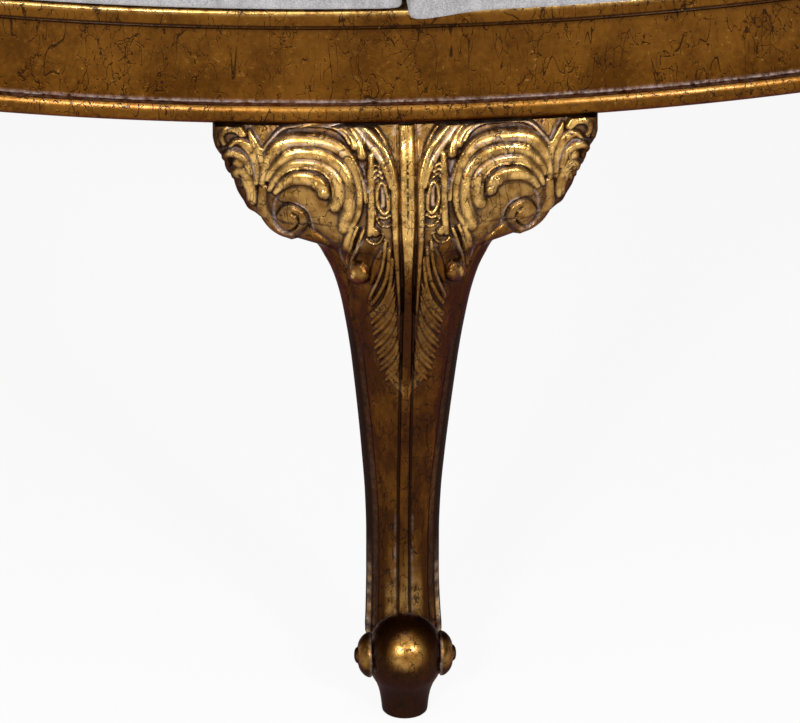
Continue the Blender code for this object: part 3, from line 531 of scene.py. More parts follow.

# %% [markdown]
# ## Drawing the carving
# The knee's acanthus is a drawing on a sheet, and the sheet is the picture itself: its units are the
# photograph's pixels, and the camera above says which point of the block lies under which place on the
# sheet. Each roll, rib and curl is one stroke: a height in millimetres, half widths along the way and a
# given path. The left half is drawn, and the right half is its mirror image, as a carver would prick
# the pattern through a folded paper. Three more lists hold the smooth forms between the rolls, the lines
# where highlights are painted onto the gold, and where pale dust has stayed.

# %% Strokes of the knee
ROLLS = {
    "rim": (1.9, (1.6, 2.0, 2.2, 2.0, 1.6), (
        (264.5, 152), (268, 146), (273, 140.5), (279, 134), (286, 129.5), (294, 127.5), (303, 127.5),
        (312, 126.8), (322, 127), (332, 129), (340, 133), (345.5, 138.5), (349.5, 146),
    )),
    "outer_roll": (2.3, (3.6, 5.4, 7.0, 6.8, 6.4, 5.8, 5.2, 4.0, 3.2, 3.0), (
        (263, 184), (265, 173), (268.5, 163), (274, 154), (281, 148), (289, 144.5), (298, 143.2),
        (308, 143), (319, 143.6), (330, 146.5), (338.5, 150.5), (345, 156), (350.5, 163.5), (354.8, 172),
        (358, 182), (359.8, 192), (360, 203), (358.5, 214), (355, 223), (349.5, 231),
    )),
    "outer_ridge": (2.8, (1.0, 1.3, 1.5, 2.2), (
        (297, 135.5), (308, 135.8), (320, 137), (331, 139.8), (340, 144.5), (347.5, 151.5), (353.5, 160),
        (358.5, 169), (362, 179), (364.7, 190), (366.2, 203),
    )),
    "second_roll": (2.6, (3.2, 4.4, 5.8, 6.4, 6.2, 5.6, 5.2, 6.2, 6.8, 5.0), (
        (268.5, 181), (272.3, 173), (279, 165.3), (287, 159.5), (297, 156), (307, 155.6), (317, 156.4),
        (327, 159.6), (335.5, 164.6), (342, 170.8), (347, 179), (349.6, 188), (350.3, 198), (349.6, 208),
        (347.8, 217), (345, 226), (343.8, 230.5),
    )),
    "second_line": (2.6, (0.9,), (
        (283, 155.5), (291, 151.7), (301, 151.2), (311, 151.2), (321, 152.6), (330, 156.6), (338, 162.5),
        (343.5, 168.5),
    )),
    "third_roll": (2.8, (3.0, 4.4, 5.4, 5.4, 5.6, 6.0, 6.4, 6.2), (
        (270.5, 191), (275, 182.5), (281.5, 174.5), (290, 168.6), (299, 166.4), (309, 166.4),
        (318.5, 168), (327, 172), (333.5, 178), (338, 186), (339.2, 195), (338, 202.5), (335.5, 207.5),
    )),
    "third_line": (3.1, (0.9,), (
        (281, 179), (289, 172.9), (299, 170.6), (309, 170.4), (318, 172), (325.5, 176.5), (330.5, 183),
        (333, 191), (333.5, 199),
    )),
    "inner_roll": (3.0, (3.4, 5.4, 7.2, 7.4, 6.8, 5.2), (
        (276.5, 193.5), (281.5, 188), (288, 183.3), (296, 180.4), (304, 180.2), (312, 181.5),
        (318.5, 185), (323, 190.5), (325.5, 196),
    )),
    "inner_bump_1": (3.4, (4.6,), ((316.5, 187), (316.9, 187.3))),
    "inner_bump_2": (3.4, (5.2,), ((323.3, 195), (323.7, 195.3))),
    "hook_1": (2.4, (2.0, 3.2, 4.4), ((341, 130.5), (348, 135), (353, 141.5), (355.3, 148))),
    "hook_2": (2.4, (1.8, 3.2, 5.0), ((350.5, 130), (357, 137.5), (361, 147), (362.3, 157))),
    "pale_band": (2.0, (2.8, 3.8, 3.6, 2.8), (
        (344, 127), (354, 128.5), (361, 134), (367, 142.5), (373.5, 151), (379.5, 160), (384.5, 169.5),
        (388.5, 179), (391.2, 189),
    )),
    "stalk": (2.4, (2.2, 3.4, 3.8, 4.0, 3.8, 3.0, 2.2, 1.4), (
        (361.5, 127.5), (367, 132), (373.5, 138.5), (380, 146), (385.5, 154.5), (389.5, 164),
        (392.5, 174), (394.3, 184), (395, 196), (394.8, 212), (395.2, 228), (396, 246), (397, 262),
        (398, 280), (399, 298), (399.5, 314),
    )),
    "top_line": (1.6, (1.6,), ((371, 125.5), (376.5, 130.5), (381.5, 137), (385.5, 144), (389, 152))),
    "stem": (2.2, (2.8, 3.6, 3.6, 3.2), (
        (371, 157), (371.3, 167), (370.8, 178), (371, 190), (371.5, 203), (371.5, 216), (371, 227),
        (370, 235),
    )),
    "scale_1": (1.7, (1.3,), ((373, 170.5), (376, 167), (380.5, 170.5))),
    "scale_2": (1.7, (1.3,), ((373.5, 175.5), (376.8, 172), (381.5, 175.5))),
    "scale_3": (1.7, (1.3,), ((374.5, 180.5), (378, 177), (383, 180.5))),
    "oval": (1.9, (1.9,), (
        (381, 184), (378, 190), (377, 198), (378, 206), (381, 212), (385, 215.5), (388, 212),
        (388.5, 204), (387, 195), (384.5, 187), (381, 184),
    )),
    "cup": (1.7, (1.2,), ((375.6, 212), (376.8, 219), (380, 225), (385.5, 228), (391, 226))),
    "cup_rim": (1.5, (1.3,), ((380, 218.5), (385, 219.5), (389.5, 217.5))),
    "bud": (2.2, (4.2,), ((374.8, 233), (375.4, 233.4))),
    "bud_arc": (1.6, (1.3,), ((367, 240), (370, 243.5), (375, 244.8), (380, 242.5), (383, 237.5))),
    "roll_tip": (2.2, (2.2, 3.6, 3.4), ((352, 231), (348, 240), (346.5, 249))),
    "tip_line_1": (1.7, (2.0,), ((357.5, 229), (353, 240), (350.5, 249), (347.5, 258), (346.5, 267))),
    "tip_line_2": (1.7, (2.0,), ((363.5, 232), (359.5, 242), (357, 250), (352.5, 259), (350.5, 267))),
    "knob": (2.8, (8.2,), ((356.5, 273.5), (357.3, 273.7))),
    "knob_ball": (3.2, (6.0,), ((361.8, 276), (362.2, 276.2))),
    "vein_1": (1.3, (1.9,), (
        (385.5, 244), (384, 258), (381.5, 271), (377.5, 282), (372.5, 292), (369.5, 299),
    )),
    "vein_2": (1.3, (2.1,), (
        (389.5, 252), (388.3, 268), (385.5, 281), (381, 291), (376, 299), (372, 304),
    )),
    "vein_3": (1.3, (2.1,), ((392.5, 262), (391, 280), (387.5, 294), (382, 304), (376, 311), (371, 315))),
    "ear_1": (2.4, (3.0, 4.0, 3.8, 3.0), (
        (219, 147), (215.5, 139), (217.5, 131.5), (224.5, 127.5), (233, 127.3), (240.5, 130.5),
        (245, 136.5),
    )),
    "ear_2": (2.6, (2.8, 3.4, 3.4, 2.4), (
        (225, 145.5), (222.3, 139), (224.6, 133.6), (230.5, 131.6), (237, 132.7), (242.5, 137.5),
    )),
    "ear_3": (2.3, (2.2, 4.0, 4.6, 4.4, 3.0), (
        (232, 147.5), (236.5, 144), (243, 144.6), (249, 149.3), (253.3, 156), (256, 164), (257.3, 174),
        (257, 184),
    )),
    "ear_4": (2.4, (3.0, 4.0, 4.2, 3.4), (
        (228.5, 166), (225.7, 160), (229.5, 155.7), (236.5, 156), (243, 160), (248, 166.5), (251.5, 175),
    )),
    "ear_5": (2.6, (4.2,), ((237.5, 164.5), (241, 166.5))),
    "ear_6": (2.3, (3.4, 4.4, 4.4, 3.6), (
        (237.3, 183), (236.2, 176), (240.5, 172.5), (246, 176.5), (250.3, 184.5), (253, 194),
        (253.6, 203),
    )),
    "ear_7": (2.2, (2.4, 3.2, 2.6), (
        (241.5, 187), (243.5, 181.5), (247, 187), (249.7, 195.5), (250, 202),
    )),
    "ear_blade": (2.2, (1.6, 4.0, 4.6, 3.0), (
        (250.5, 132), (253, 139.5), (257, 148), (261.3, 157.5), (262.5, 166),
    )),
}
print(f"{len(ROLLS)} rolls, ribs and curls drawn")

# %% Fronds and smooth forms
FRONDS = (
    ((394, 290), (388, 302), (380, 312), (372, 320)), ((395, 302), (390, 314), (383, 323), (374, 331)),
    ((396, 316), (391, 328), (384, 337), (375, 345)), ((397, 330), (392, 341), (386, 349), (378, 356)),
    ((398, 344), (394, 354), (388, 361), (381, 367)), ((399, 358), (396, 366), (391, 372), (386, 377)),
    ((389, 374), (394, 380), (399, 385), (403.5, 391)),
)
SMOOTH_FORMS = {
    "ground": (0.5, (6, 8, 2), ((262, 125), (263, 134), (264.5, 146))),
    "web": (1.3, (8, 14, 15, 9), ((285, 196), (303, 197), (318, 210), (329, 224), (337, 236))),
    "volute_band": (2.3, (5.2, 6.6, 6.4, 4.8), (
        (263.5, 190), (262.8, 200), (263.6, 210), (267.6, 219.5), (274.5, 228), (283.5, 233.5),
        (292, 235.5),
    )),
    "volute": (3.4, (17.0,), ((292, 219.5), (292.8, 219.8))),
    "smooth_leaf": (1.9, (1.5, 4.2, 4.6, 1.6), ((381.5, 251), (377.5, 262), (374.5, 272), (371, 284))),
    "oval_heart": (1.2, (2.6,), ((382.7, 191), (383.3, 207))),
}
VOLUTE_LINE = (
    (311, 227), (308.5, 217), (303.5, 210.5), (297, 206.5), (289, 205), (282, 207.5), (277, 213),
    (275.5, 220), (278, 227), (284, 231.5), (291, 231.8), (296.5, 228.5), (299, 223), (297.5, 217.5),
    (293.5, 214.5),
)
EDGE_LINE = (
    (309, 227), (313, 231.5), (320, 236.5), (327, 242.5), (333, 250), (338.5, 259), (343, 269),
    (347, 280), (350, 292), (353, 310), (356, 330),
)
print(f"{len(FRONDS)} fronds and {len(SMOOTH_FORMS)} smooth forms drawn")

# %% Painted highlights and dusty lines
# Lines where highlights are painted bright onto the gold: a half width and a path each.
HIGHLIGHT_LINES = (
    (2.2, ((263.5, 180), (266, 167), (271, 154.5), (276.5, 146))),
    (2.6, ((268.5, 178), (274.5, 169.5), (281, 163))),
    (2.0, ((283, 175.3), (291, 170.5))),
    (3.4, ((281, 189), (288, 182.5), (297, 178.5))),
    (3.0, ((239, 165), (240, 165.8))),
    (2.2, ((259.5, 150), (262, 158))),
    (2.2, ((332, 176), (337, 184), (339, 192))),
    (0.9, ((234, 146), (237, 142.6), (243, 142.6), (249, 147), (253, 153), (257, 160))),
    (0.9, ((236, 148.5), (243, 149.5), (249, 154), (253, 160))),
    (1.4, ((366, 131), (375, 139), (383, 149))),
    (1.0, ((226, 137), (229, 134.5), (234, 133.2), (240, 135), (243.5, 138.5))),
    (2.0, ((387, 157), (391, 168), (393.5, 180))),
    (0.9, ((313, 136.5), (331, 139.8), (347.5, 151.5), (358.5, 169), (362, 179))),
    (2.2, ((371, 158), (371.5, 166))),
    (2.0, ((378, 184), (381, 187.5))),
    (0.9, ((283, 209), (291, 206.8), (298, 208.7), (304.5, 213))),
    (2.4, ((353, 277), (354, 272))),
    (2.2, ((371.5, 190), (371.5, 232))),
    (2.4, ((394.5, 184), (395, 240))),
    (1.0, ((345, 227), (349, 217), (350.5, 206))),
    (1.6, ((347, 182), (350, 192), (351, 202))),
)
DUSTY_LINES = (
    (2.0, (
        (265, 151), (272, 141.5), (279, 134), (286, 129.5), (294, 127), (312, 126.5), (332, 128.7),
        (344, 136.5),
    )),
    (2.2, ((346, 127), (355, 128.5), (361, 134), (367, 142.5), (374, 152), (381, 163))),
    (2.4, ((394, 123), (394.5, 136))),
    (1.5, ((279, 197), (276, 203), (274.6, 211), (274.6, 219), (277, 226), (283, 232), (292, 234.6))),
    (2.6, ((362, 166), (363.5, 176), (366, 186), (368.5, 193))),
    (1.4, ((252, 128), (258, 138), (263.5, 148))),
    (1.4, ((230, 151.5), (240, 151), (248, 157), (254, 167), (256, 178))),
    (2.6, ((382.8, 191), (383.3, 207))),
    (1.7, ((286, 147), (300, 146.5), (320, 145.7), (335, 149.5), (345, 156.5))),
    (1.1, ((295, 163.3), (309, 163.2), (322, 166), (331, 171.5), (337, 178.5))),
    (1.2, ((296, 204.3), (304, 207.8), (309, 214), (312, 222), (314, 229))),
    (1.1, ((312, 230), (320, 235.5), (328, 242.5))),
    (1.7, ((353, 258), (358, 250), (362, 243))),
    (1.9, ((351, 268), (355, 266), (360, 266.5))),
    (1.2, ((340, 250), (343, 262), (349, 280))),
    (1.1, ((383, 247), (377, 257), (372, 267))),
    (1.1, ((380, 276), (375, 287), (370, 296))),
    (1.7, ((216, 124), (230, 124.5), (247, 125))),
    (1.4, ((276, 124.5), (345, 124.5))),
)
print(f"{len(HIGHLIGHT_LINES)} rubbed lines and {len(DUSTY_LINES)} dusty ones drawn")

# %% Carving by strokes
ROLL_SPREAD = 1.32
FROND_RISE = 0.9
FROND_WIDTHS = (1.2, 2.3, 2.5, 1.5)
FROND_SPLIT = 2.9
VOLUTE_CUT = 1.5
FIRST_RELIEF = 1.6


def smooth_path(points, spans=5):
    """More points along a curve that passes through the drawn ones."""
    drawn = np.asarray(points, float)
    padded = np.vstack([2 * drawn[0] - drawn[1], drawn, 2 * drawn[-1] - drawn[-2]])
    shares = np.linspace(0, 1, spans, endpoint=False)[:, None]
    pieces = []
    for before, start, end, after in zip(padded, padded[1:], padded[2:], padded[3:]):
        bend = 2 * before - 5 * start + 4 * end - after
        twist = 3 * (start - end) + after - before
        pieces.append(start + 0.5 * shares * (end - before + shares * (bend + shares * twist)))
    return np.vstack(pieces + [drawn[-1:]])


def closeness(sheet, points, half_widths):
    """1 on a stroke's path, falling to 0 at its half width."""
    path = smooth_path(points)
    share = np.linspace(0, 1, len(path))
    widths = np.interp(share, np.linspace(0, 1, len(half_widths)), half_widths)
    reach = widths.max()
    near = np.all((sheet > path.min(0) - reach) & (sheet < path.max(0) + reach), -1)
    x, y = sheet[near].T
    gap = np.full(x.shape, 9.0)
    for start, end, first_width, last_width in zip(path, path[1:], widths, widths[1:]):
        along, off = from_line(x, y, start, end)
        gap = np.minimum(gap, off / (first_width + along * (last_width - first_width)))
    found = np.zeros(near.shape)
    found[near] = np.clip(1 - gap ** 2, 0, 1)
    return found


def on_picture(points):
    """Where the camera sees points of the first leg, in pixels of the photograph."""
    offset = points * MM - np.array([0, RAIL_RADIUS, 0]) - np.array(aim)
    across_picture = PICTURE_WIDTH / 2 + offset @ np.array(camera_right) / PIXEL_SIZE
    return np.stack([across_picture, PICTURE_HEIGHT / 2 - offset @ np.array(camera_up) / PIXEL_SIZE], -1)


def carve(sheet):
    """The relief in millimetres, and how near each place is to any path and to a roll's path."""
    relief = np.zeros(sheet.shape[:2])
    near_any = np.zeros(sheet.shape[:2])
    for height, widths, points in SMOOTH_FORMS.values():
        near = closeness(sheet, points, widths)
        relief = np.maximum(relief, height * near ** 0.5)
        near_any = np.maximum(near_any, near)
    relief -= VOLUTE_CUT * closeness(sheet, VOLUTE_LINE, (VOLUTE_CUT,))
    near_roll = np.zeros(sheet.shape[:2])
    fronds = [(FROND_RISE, FROND_WIDTHS, [(x, y + shift) for x, y in points])
              for points in FRONDS for shift in (-FROND_SPLIT, FROND_SPLIT)]
    for height, widths, points in [*ROLLS.values(), *fronds]:
        near = closeness(sheet, points, ROLL_SPREAD * np.array(widths))
        relief = np.maximum(relief, height * near ** 0.5)
        near_roll = np.maximum(near_roll, near)
    return relief, np.maximum(near_any, near_roll), near_roll


def blurred(values, reach):
    """The mean of each point's surroundings, a few points each way."""
    for axis in (0, 1):
        padding = [(reach + 1, reach) if i == axis else (0, 0) for i in (0, 1)]
        total = np.cumsum(np.pad(values, padding, mode="edge"), axis)
        size = values.shape[axis]
        values = (np.take(total, range(2 * reach + 1, 2 * reach + 1 + size), axis)
                  - np.take(total, range(size), axis)) / (2 * reach + 1)
    return values


left = slice(0, off_middle.shape[1])
relief = np.full(off_middle.shape, FIRST_RELIEF)
for turn in range(3):
    sheet = on_picture(block[:, left] + blurred(relief, 2)[..., None] * block_out[:, left])
    relief, near_any, near_roll = carve(sheet)
print(f"{len(ROLLS) + len(SMOOTH_FORMS) + 2 * len(FRONDS)} strokes, {relief.max():.1f} mm at the highest")

# %% [markdown]
# ## Grooves, midrib, wear and painted light
# Under the leaf the shaft has a raised midrib between two fine grooves, and a bevel along each edge, set
# off by a shallow groove and painted dark as shade. The wear and the painted light follow the drawing: the
# grooves between strokes are dark, partly clay and partly painted shade; the tops of the rolls are rubbed
# bright on the knee and less so on the leaf below it, and listed lines, the midrib and the middle of the
# knee get painted highlights; the plain shaft takes the brown wash, which is also painted shade, and so do
# the carving's undersides and the ear's outer edge; and pale broken painted highlights run down the edges
# of the ankle, with a brighter patch over its middle.

# %% Grooves
RIB_WIDTH = 2.05
RIB_SWELL = 1.2
RIB_RISE = 1.1
RIB_GROOVE = 0.6
RIB_GROOVE_DEPTH = 0.6
BEVEL_WIDTH = 3.9
BEVEL_GROOVE_DEPTH = 0.8
EDGE_LINE_DEPTH = 1.1
ENGRAVED_DEPTH = 0.32
ENGRAVED_PLACE = 0.38
KNEE_ROWS = (262, 228)
LEAF_ROWS = (345, 238)

level = levels[:, None]
picture_row = sheet[..., 1]
rib_width = RIB_WIDTH + RIB_SWELL * smooth_step(222, 258, level)
rib_groove = rib_width + RIB_GROOVE
relief = np.maximum(relief, RIB_RISE * dip(off_middle, rib_width) ** 0.5)
relief -= RIB_GROOVE_DEPTH * dip(off_middle - rib_groove, 0.75)
bevel_groove = dip(edge_distance - BEVEL_WIDTH, 1.6) * smooth_step(198, 170, level)
edge_line = closeness(sheet, EDGE_LINE, (1.6,))
relief -= np.maximum(BEVEL_GROOVE_DEPTH * bevel_groove, EDGE_LINE_DEPTH * edge_line)
relief *= smooth_step(0.2, 1.8, edge_distance)
upper = smooth_step(*KNEE_ROWS, picture_row)
engraved = np.exp(-((near_roll - ENGRAVED_PLACE) / 0.09) ** 2) * upper
relief -= ENGRAVED_DEPTH * engraved
print(f"grooves cut, {relief.min():.1f} mm at the deepest")

# %% Where the wear and the painted light lie
near_knee = smooth_step(*LEAF_ROWS, picture_row)
on_rib = smooth_step(rib_width + 0.4, rib_width - 0.1, off_middle)
in_carving = np.clip(blurred((near_any > 0.02).astype(float), 5) * 1.5, 0, 1)
# Grooves between strokes are darkened, partly for the clay ground and partly as painted shade.
groove_clay_and_shade = np.clip((blurred(relief, 2) - relief) / 0.22 - 0.15, 0, 1) * in_carving * (1 - on_rib)
# Bright painted highlights along the highlight lines, and pale dust along the dusty ones.
painted_highlight, dust_lines = (strongest(*(closeness(sheet, points, (width,)) for width, points in lines))
                     for lines in (HIGHLIGHT_LINES, DUSTY_LINES))
# Painted shade along the ear's outer edge, where it turns away from the light.
ear_edge_shade = smooth_step(7.0, 1.0, edge_distance) * smooth_step(238, 250, level)
broken = smooth_step(-0.9, 0.5, np.sin(1.1 * level) + np.sin(0.43 * level + 1))
# Painted highlights: a broken pale line down each edge of the ankle and a bright patch over its middle.
edge_highlight = smooth_step(0.2, 0.6, edge_distance) * smooth_step(2.5, 1.9, edge_distance)
edge_highlight = edge_highlight * (0.35 + 0.65 * broken) * smooth_step(84, 50, level)
# Painted shade: a dark strip on each bevel of the shaft.
bevel_shade = smooth_step(3.3, 2.5, edge_distance) * smooth_step(208, 180, level) * (1 - edge_highlight)
ankle_highlight = smooth_step(80, 45, level) * smooth_step(10.0, 6.5, off_middle)
rib_dust = np.exp(-((off_middle - rib_groove - 1.1) / 0.5) ** 2) * smooth_step(105, 70, level) * broken
rib_crack = (off_middle < 0.55) * (np.sin(0.9 * level) + np.sin(2.3 * level) > -0.4)
rib_crack = rib_crack * smooth_step(250, 254, level) * smooth_step(282, 278, level)
print(f"carving over {np.mean(in_carving > 0.5):.0%} of the front")

# %% How much wear and painted light
rubbed_and_highlit = upper * (0.12 + 0.16 * near_any + 0.46 * near_roll ** 2) + (1 - upper) * 0.2 * near_roll ** 3
# Painted highlights down the midrib of the knee and over the middle of the knee.
rubbed_and_highlit = np.maximum(rubbed_and_highlit, 0.9 * on_rib * smooth_step(222, 246, level))
rubbed_and_highlit = np.maximum(rubbed_and_highlit * (1 - ear_edge_shade), painted_highlight)
rubbed_and_highlit += 0.16 * smooth_step(20, 10, off_middle) * smooth_step(236, 250, level)
# The ankle's painted highlights go into the rubbed share as bright gold and into the dust as pale sheen.
rubbed_and_highlit = strongest(rubbed_and_highlit, 0.55 * edge_highlight, 0.3 * ankle_highlight)
dust_and_sheen = np.maximum(0.85 * dust_lines ** 0.7, 0.12 * in_carving * (1 - near_any)) * (0.3 + 0.7 * upper)
dust_and_sheen = strongest(dust_and_sheen, 0.4 * edge_highlight, 0.5 * rib_dust, 0.05 * bevel_groove)
hollow_and_shade = strongest(0.75 * groove_clay_and_shade, 0.35 * bevel_groove, 0.9 * rib_crack, 0.95 * bevel_shade, 0.5 * engraved,
                   0.95 * dip(off_middle - rib_groove, 0.85) * (1 - 0.5 * upper))
# Partly painted shade: the shaft darkened all over, less towards the knee, and lifted under painted
# highlights.
wash_and_shade = 1 - 0.25 * in_carving - 0.2 * near_roll - 0.35 * near_knee * (1 - ear_edge_shade)
wash_and_shade = (1 - upper) * wash_and_shade + upper * 0.45 * (1 - near_any) * in_carving
wash_and_shade = np.clip(wash_and_shade, 0, 1) * (1 - 0.8 * on_rib * smooth_step(206, 240, level))
wash_and_shade = np.maximum(wash_and_shade, 0.9 * ear_edge_shade) * (1 - painted_highlight) * (1 - 0.7 * np.maximum(edge_highlight, ankle_highlight))

relief, hollow_and_shade, rubbed_and_highlit, wash_and_shade, dust_and_sheen = map(mirrored, (relief, hollow_and_shade, rubbed_and_highlit, wash_and_shade, dust_and_sheen))
carved = block + block_out * relief[..., None]
carved_up = surface_out(carved)[..., 2]
top_side = smooth_step(0.45, 0.85, carved_up) * mirrored(upper * in_carving)
dust_and_sheen = np.maximum(dust_and_sheen, 0.26 * top_side)
rubbed_and_highlit = rubbed_and_highlit * (1 - 0.3 * top_side)
# Carving that faces down is washed darker, as painted shade.
underside_shade = np.clip(-carved_up * 1.5 - 0.15, 0, 1)
wash_and_shade = np.clip(wash_and_shade + 0.7 * underside_shade * smooth_step(200, 225, level), 0, 1)
print(f"hollow over {np.mean(hollow_and_shade > 0.3):.0%} of the front, rubbed over {np.mean(rubbed_and_highlit > 0.3):.0%}")

# %% [markdown]
# ## The carved leg as one mesh
# The relief has been pushed out along the block's own surface, so that a roll on the curved ear leans
# outwards with it, but nearly level, so that none sags below its ear. Flat sides and a back close each
# level into a ring. The foot below is turned: a ball that the shaft rolls into and that runs down into a
# tapered toe round the glide, with a domed button and its small knob on each side of the ball.

# %% Leg body
SIDE_TAPER = 2.8
BACK_ROUND = 0.14
SIDE_SHADE = 0.85
SIDE_SHADE_WASH = 0.9


def leg_rings():
    rows = []
    for row, level in enumerate(levels):
        wide, edge, back = half_width[row], block[row, -1, 1], depth[row] - front[row]
        round_off = BACK_ROUND * depth[row]
        side = [(wide - SIDE_TAPER * share, edge + share * (back - round_off - edge))
                for share in (0.2, 0.45, 0.7, 1.0)]
        side += [((wide - SIDE_TAPER) * (1 - 0.03 * i), back - round_off * (1 - i / 4) ** 1.6)
                 for i in (1, 2, 3, 4)]
        far = [(x, y, level) for x, y in side]
        rear = [((wide - SIDE_TAPER) * 0.88 * share, back, level) for share in (0.6, 0.3, 0.0, -0.3, -0.6)]
        near = [(-x, y, z) for x, y, z in reversed(far)]
        rows.append(np.vstack([carved[row], far, rear, near]))
    return np.array(rows)


rings = leg_rings()
ring_size = rings.shape[1]
front_size = across.shape[1]
leg_colour = np.zeros((len(levels), ring_size, 4))
# The flat sides and back are darkened all over, as brown wash and painted shade.
leg_colour[..., 0] = SIDE_SHADE
leg_colour[..., 2] = SIDE_SHADE_WASH
leg_colour[:, :front_size] = np.stack([hollow_and_shade, rubbed_and_highlit, wash_and_shade, dust_and_sheen], -1)
print(f"leg body: {len(levels)} rings of {ring_size} points, {relief.max():.1f} mm of relief")

# %% Turned foot
BALL_HEIGHT = 30.2
BALL_SETBACK = 11.0
TOE_SETBACK = 14.0
BUTTON_FOOT = 14.8
BUTTON_HEIGHT = 29.4
TOWARDS_LIGHT = (-0.895, 0.446)


def turned(profile, count=48):
    """Points and faces of a shell turned about Z; the profile runs from one pole to the other."""
    inner = np.array(profile[1:-1], float)
    angles = np.arange(count) * math.tau / count
    ring = np.stack([np.cos(angles), np.sin(angles)], -1)
    points = [np.column_stack([radius * ring, np.full(count, along)]) for radius, along in inner]
    points = np.vstack(points + [[(0, 0, profile[0][1])], [(0, 0, profile[-1][1])]])
    faces = grid_faces(len(inner), count, closed=True)
    first, last = len(points) - 2, len(points) - 1
    for index in range(count):
        after = (index + 1) % count
        faces.append([first, after, index])
        faces.append([last, (len(inner) - 1) * count + index, (len(inner) - 1) * count + after])
    return points, faces


BUTTON = (
    (0, 0), (9.3, 0.0), (10.0, 0.5), (9.9, 1.6), (9.3, 2.8), (8.3, 3.9), (7.0, 4.9), (5.5, 5.6),
    (4.3, 5.9), (3.9, 5.8), (3.6, 6.2), (3.2, 6.8), (2.3, 7.3), (1.1, 7.55), (0, 7.6),
)
FOOT = (
    (0, 2.6), (8.6, 2.6), (8.8, 0.9), (9.4, 0.7), (9.9, 1.2), (10.1, 2.4), (10.3, 4.5), (10.6, 7),
    (11.1, 10), (11.8, 13), (12.8, 16), (13.8, 18), (14.9, 20.2), (15.9, 22.8), (16.5, 25.5),
    (16.8, 28.2), (16.9, 31), (16.6, 33.8), (15.9, 36.5), (14.7, 39.2), (13.0, 41.7), (10.6, 44.0),
    (7.6, 45.8), (4.5, 46.8), (2.2, 47.0), (0, 47.1),
)


def foot_shells():
    """The ball with its toe, and its two buttons, in the leg's own place in millimetres."""
    points, faces = turned(FOOT)
    setback = TOE_SETBACK + (BALL_SETBACK - TOE_SETBACK) * smooth_step(6, 27, points[:, 2])
    made = [(np.column_stack([points[:, 0], points[:, 1] + setback, points[:, 2]]), faces)]
    for side in (1, -1):
        points, faces = turned(BUTTON, 32)
        out = side * (points[:, 2] + BUTTON_FOOT)
        placed = np.column_stack([out, points[:, 0] + BALL_SETBACK, points[:, 1] + BUTTON_HEIGHT])
        made.append((placed, faces))
    return made


def foot_wear_and_light(points):
    """Painted highlight facing the lamps, brown painted shade round it, a pale painted rim, dust in the
    joints.
    """
    colour = np.zeros((len(points), 4))
    x, y, z = points[:, 0], points[:, 1] - BALL_SETBACK, points[:, 2] - BALL_HEIGHT
    on_button = smooth_step(BUTTON_FOOT + 0.2, BUTTON_FOOT + 0.7, np.abs(x))
    on_button *= smooth_step(4.0, 1.0, np.abs(y) - 8)
    on_toe = smooth_step(19, 15, points[:, 2])
    # Facing the camera and softboxes: painted bright there, darkened as painted shade away, pale near the
    # outline.
    outwards = TOWARDS_LIGHT[0] * y + TOWARDS_LIGHT[1] * z
    facing = outwards / np.maximum(np.sqrt(x * x + y * y + z * z), 1)
    foot_highlight = smooth_step(0.78, 0.96, facing) * (1 - on_toe)
    button_facing = outwards / np.maximum(np.hypot(y, z), 4)
    foot_highlight = np.maximum(foot_highlight, 0.8 * on_button * smooth_step(0.4, 0.9, button_facing))
    joint = np.exp(-((np.abs(x) - BUTTON_FOOT) / 0.6) ** 2) * smooth_step(8.8, 9.4, np.hypot(y, z))
    rim_sheen = smooth_step(0.32, 0.08, facing) * smooth_step(8, 12, z)
    colour[:, 0] = np.clip(0.6 * (1 - foot_highlight) + 0.15 * on_toe, 0, 1) * (1 - joint)
    colour[:, 1] = 0.34 * foot_highlight ** 2
    colour[:, 2] = 1 - 0.95 * foot_highlight
    colour[:, 3] = np.maximum(0.9 * joint, 0.55 * rim_sheen) * (1 - on_toe)
    return colour


foot_points = sum(len(points) for points, faces in foot_shells())
print(f"turned foot of {foot_points} points")

# %% Six legs
leg_points = [rings.reshape(-1, 3)]
leg_colours = [leg_colour.reshape(-1, 4)]
leg_faces = [face[::-1] for face in grid_faces(len(levels), ring_size, closed=True)]
leg_faces.append(list(range(ring_size))[::-1])
leg_faces.append(list(range((len(levels) - 1) * ring_size, len(levels) * ring_size)))
for points, faces in foot_shells():
    offset = sum(len(part) for part in leg_points)
    leg_points.append(points)
    leg_colours.append(foot_wear_and_light(points))
    leg_faces += [[offset + index for index in face] for face in faces]
leg_place = np.vstack(leg_points) * MM
leg_place[:, 1] -= RAIL_RADIUS
leg_place[:, 2] = np.minimum(leg_place[:, 2], LEG_TOP)
leg_mesh = face_outwards(mesh_from_points("carved_leg", leg_place, leg_faces, np.vstack(leg_colours), 62))
add_ring("carved_leg", leg_mesh, gilt, "leg")
print(f"{SEATS} carved legs of {len(leg_mesh.polygons)} faces")

# %% [markdown]
# ## Mouldings swept by Geometry Nodes
# The rail and the crown are one section drawn along an arc, which is what a spindle moulder does to a
# curved rail. A small tree does the same: an arc, a profile taken from an edge-only mesh, Curve to Mesh,
# and the doubles of a full circle merged. The profile is drawn in millimetres as how far it lies outside
# a radius and how high it is. The tree's result is then made a plain mesh, and the wear, with some painted
# highlights and painted shade, is painted on its points by their place in the section.

# %% Sweep tree
MERGE_REACH = 0.00002
MOULDING_SHARP = 40


def new_tree(name, inputs):
    tree = bpy.data.node_groups.new(name, "GeometryNodeTree")
    for label, kind in inputs.items():
        tree.interface.new_socket(label, in_out="INPUT", socket_type=f"NodeSocket{kind}")
    tree.interface.new_socket("Geometry", in_out="OUTPUT", socket_type="NodeSocketGeometry")
    return tree


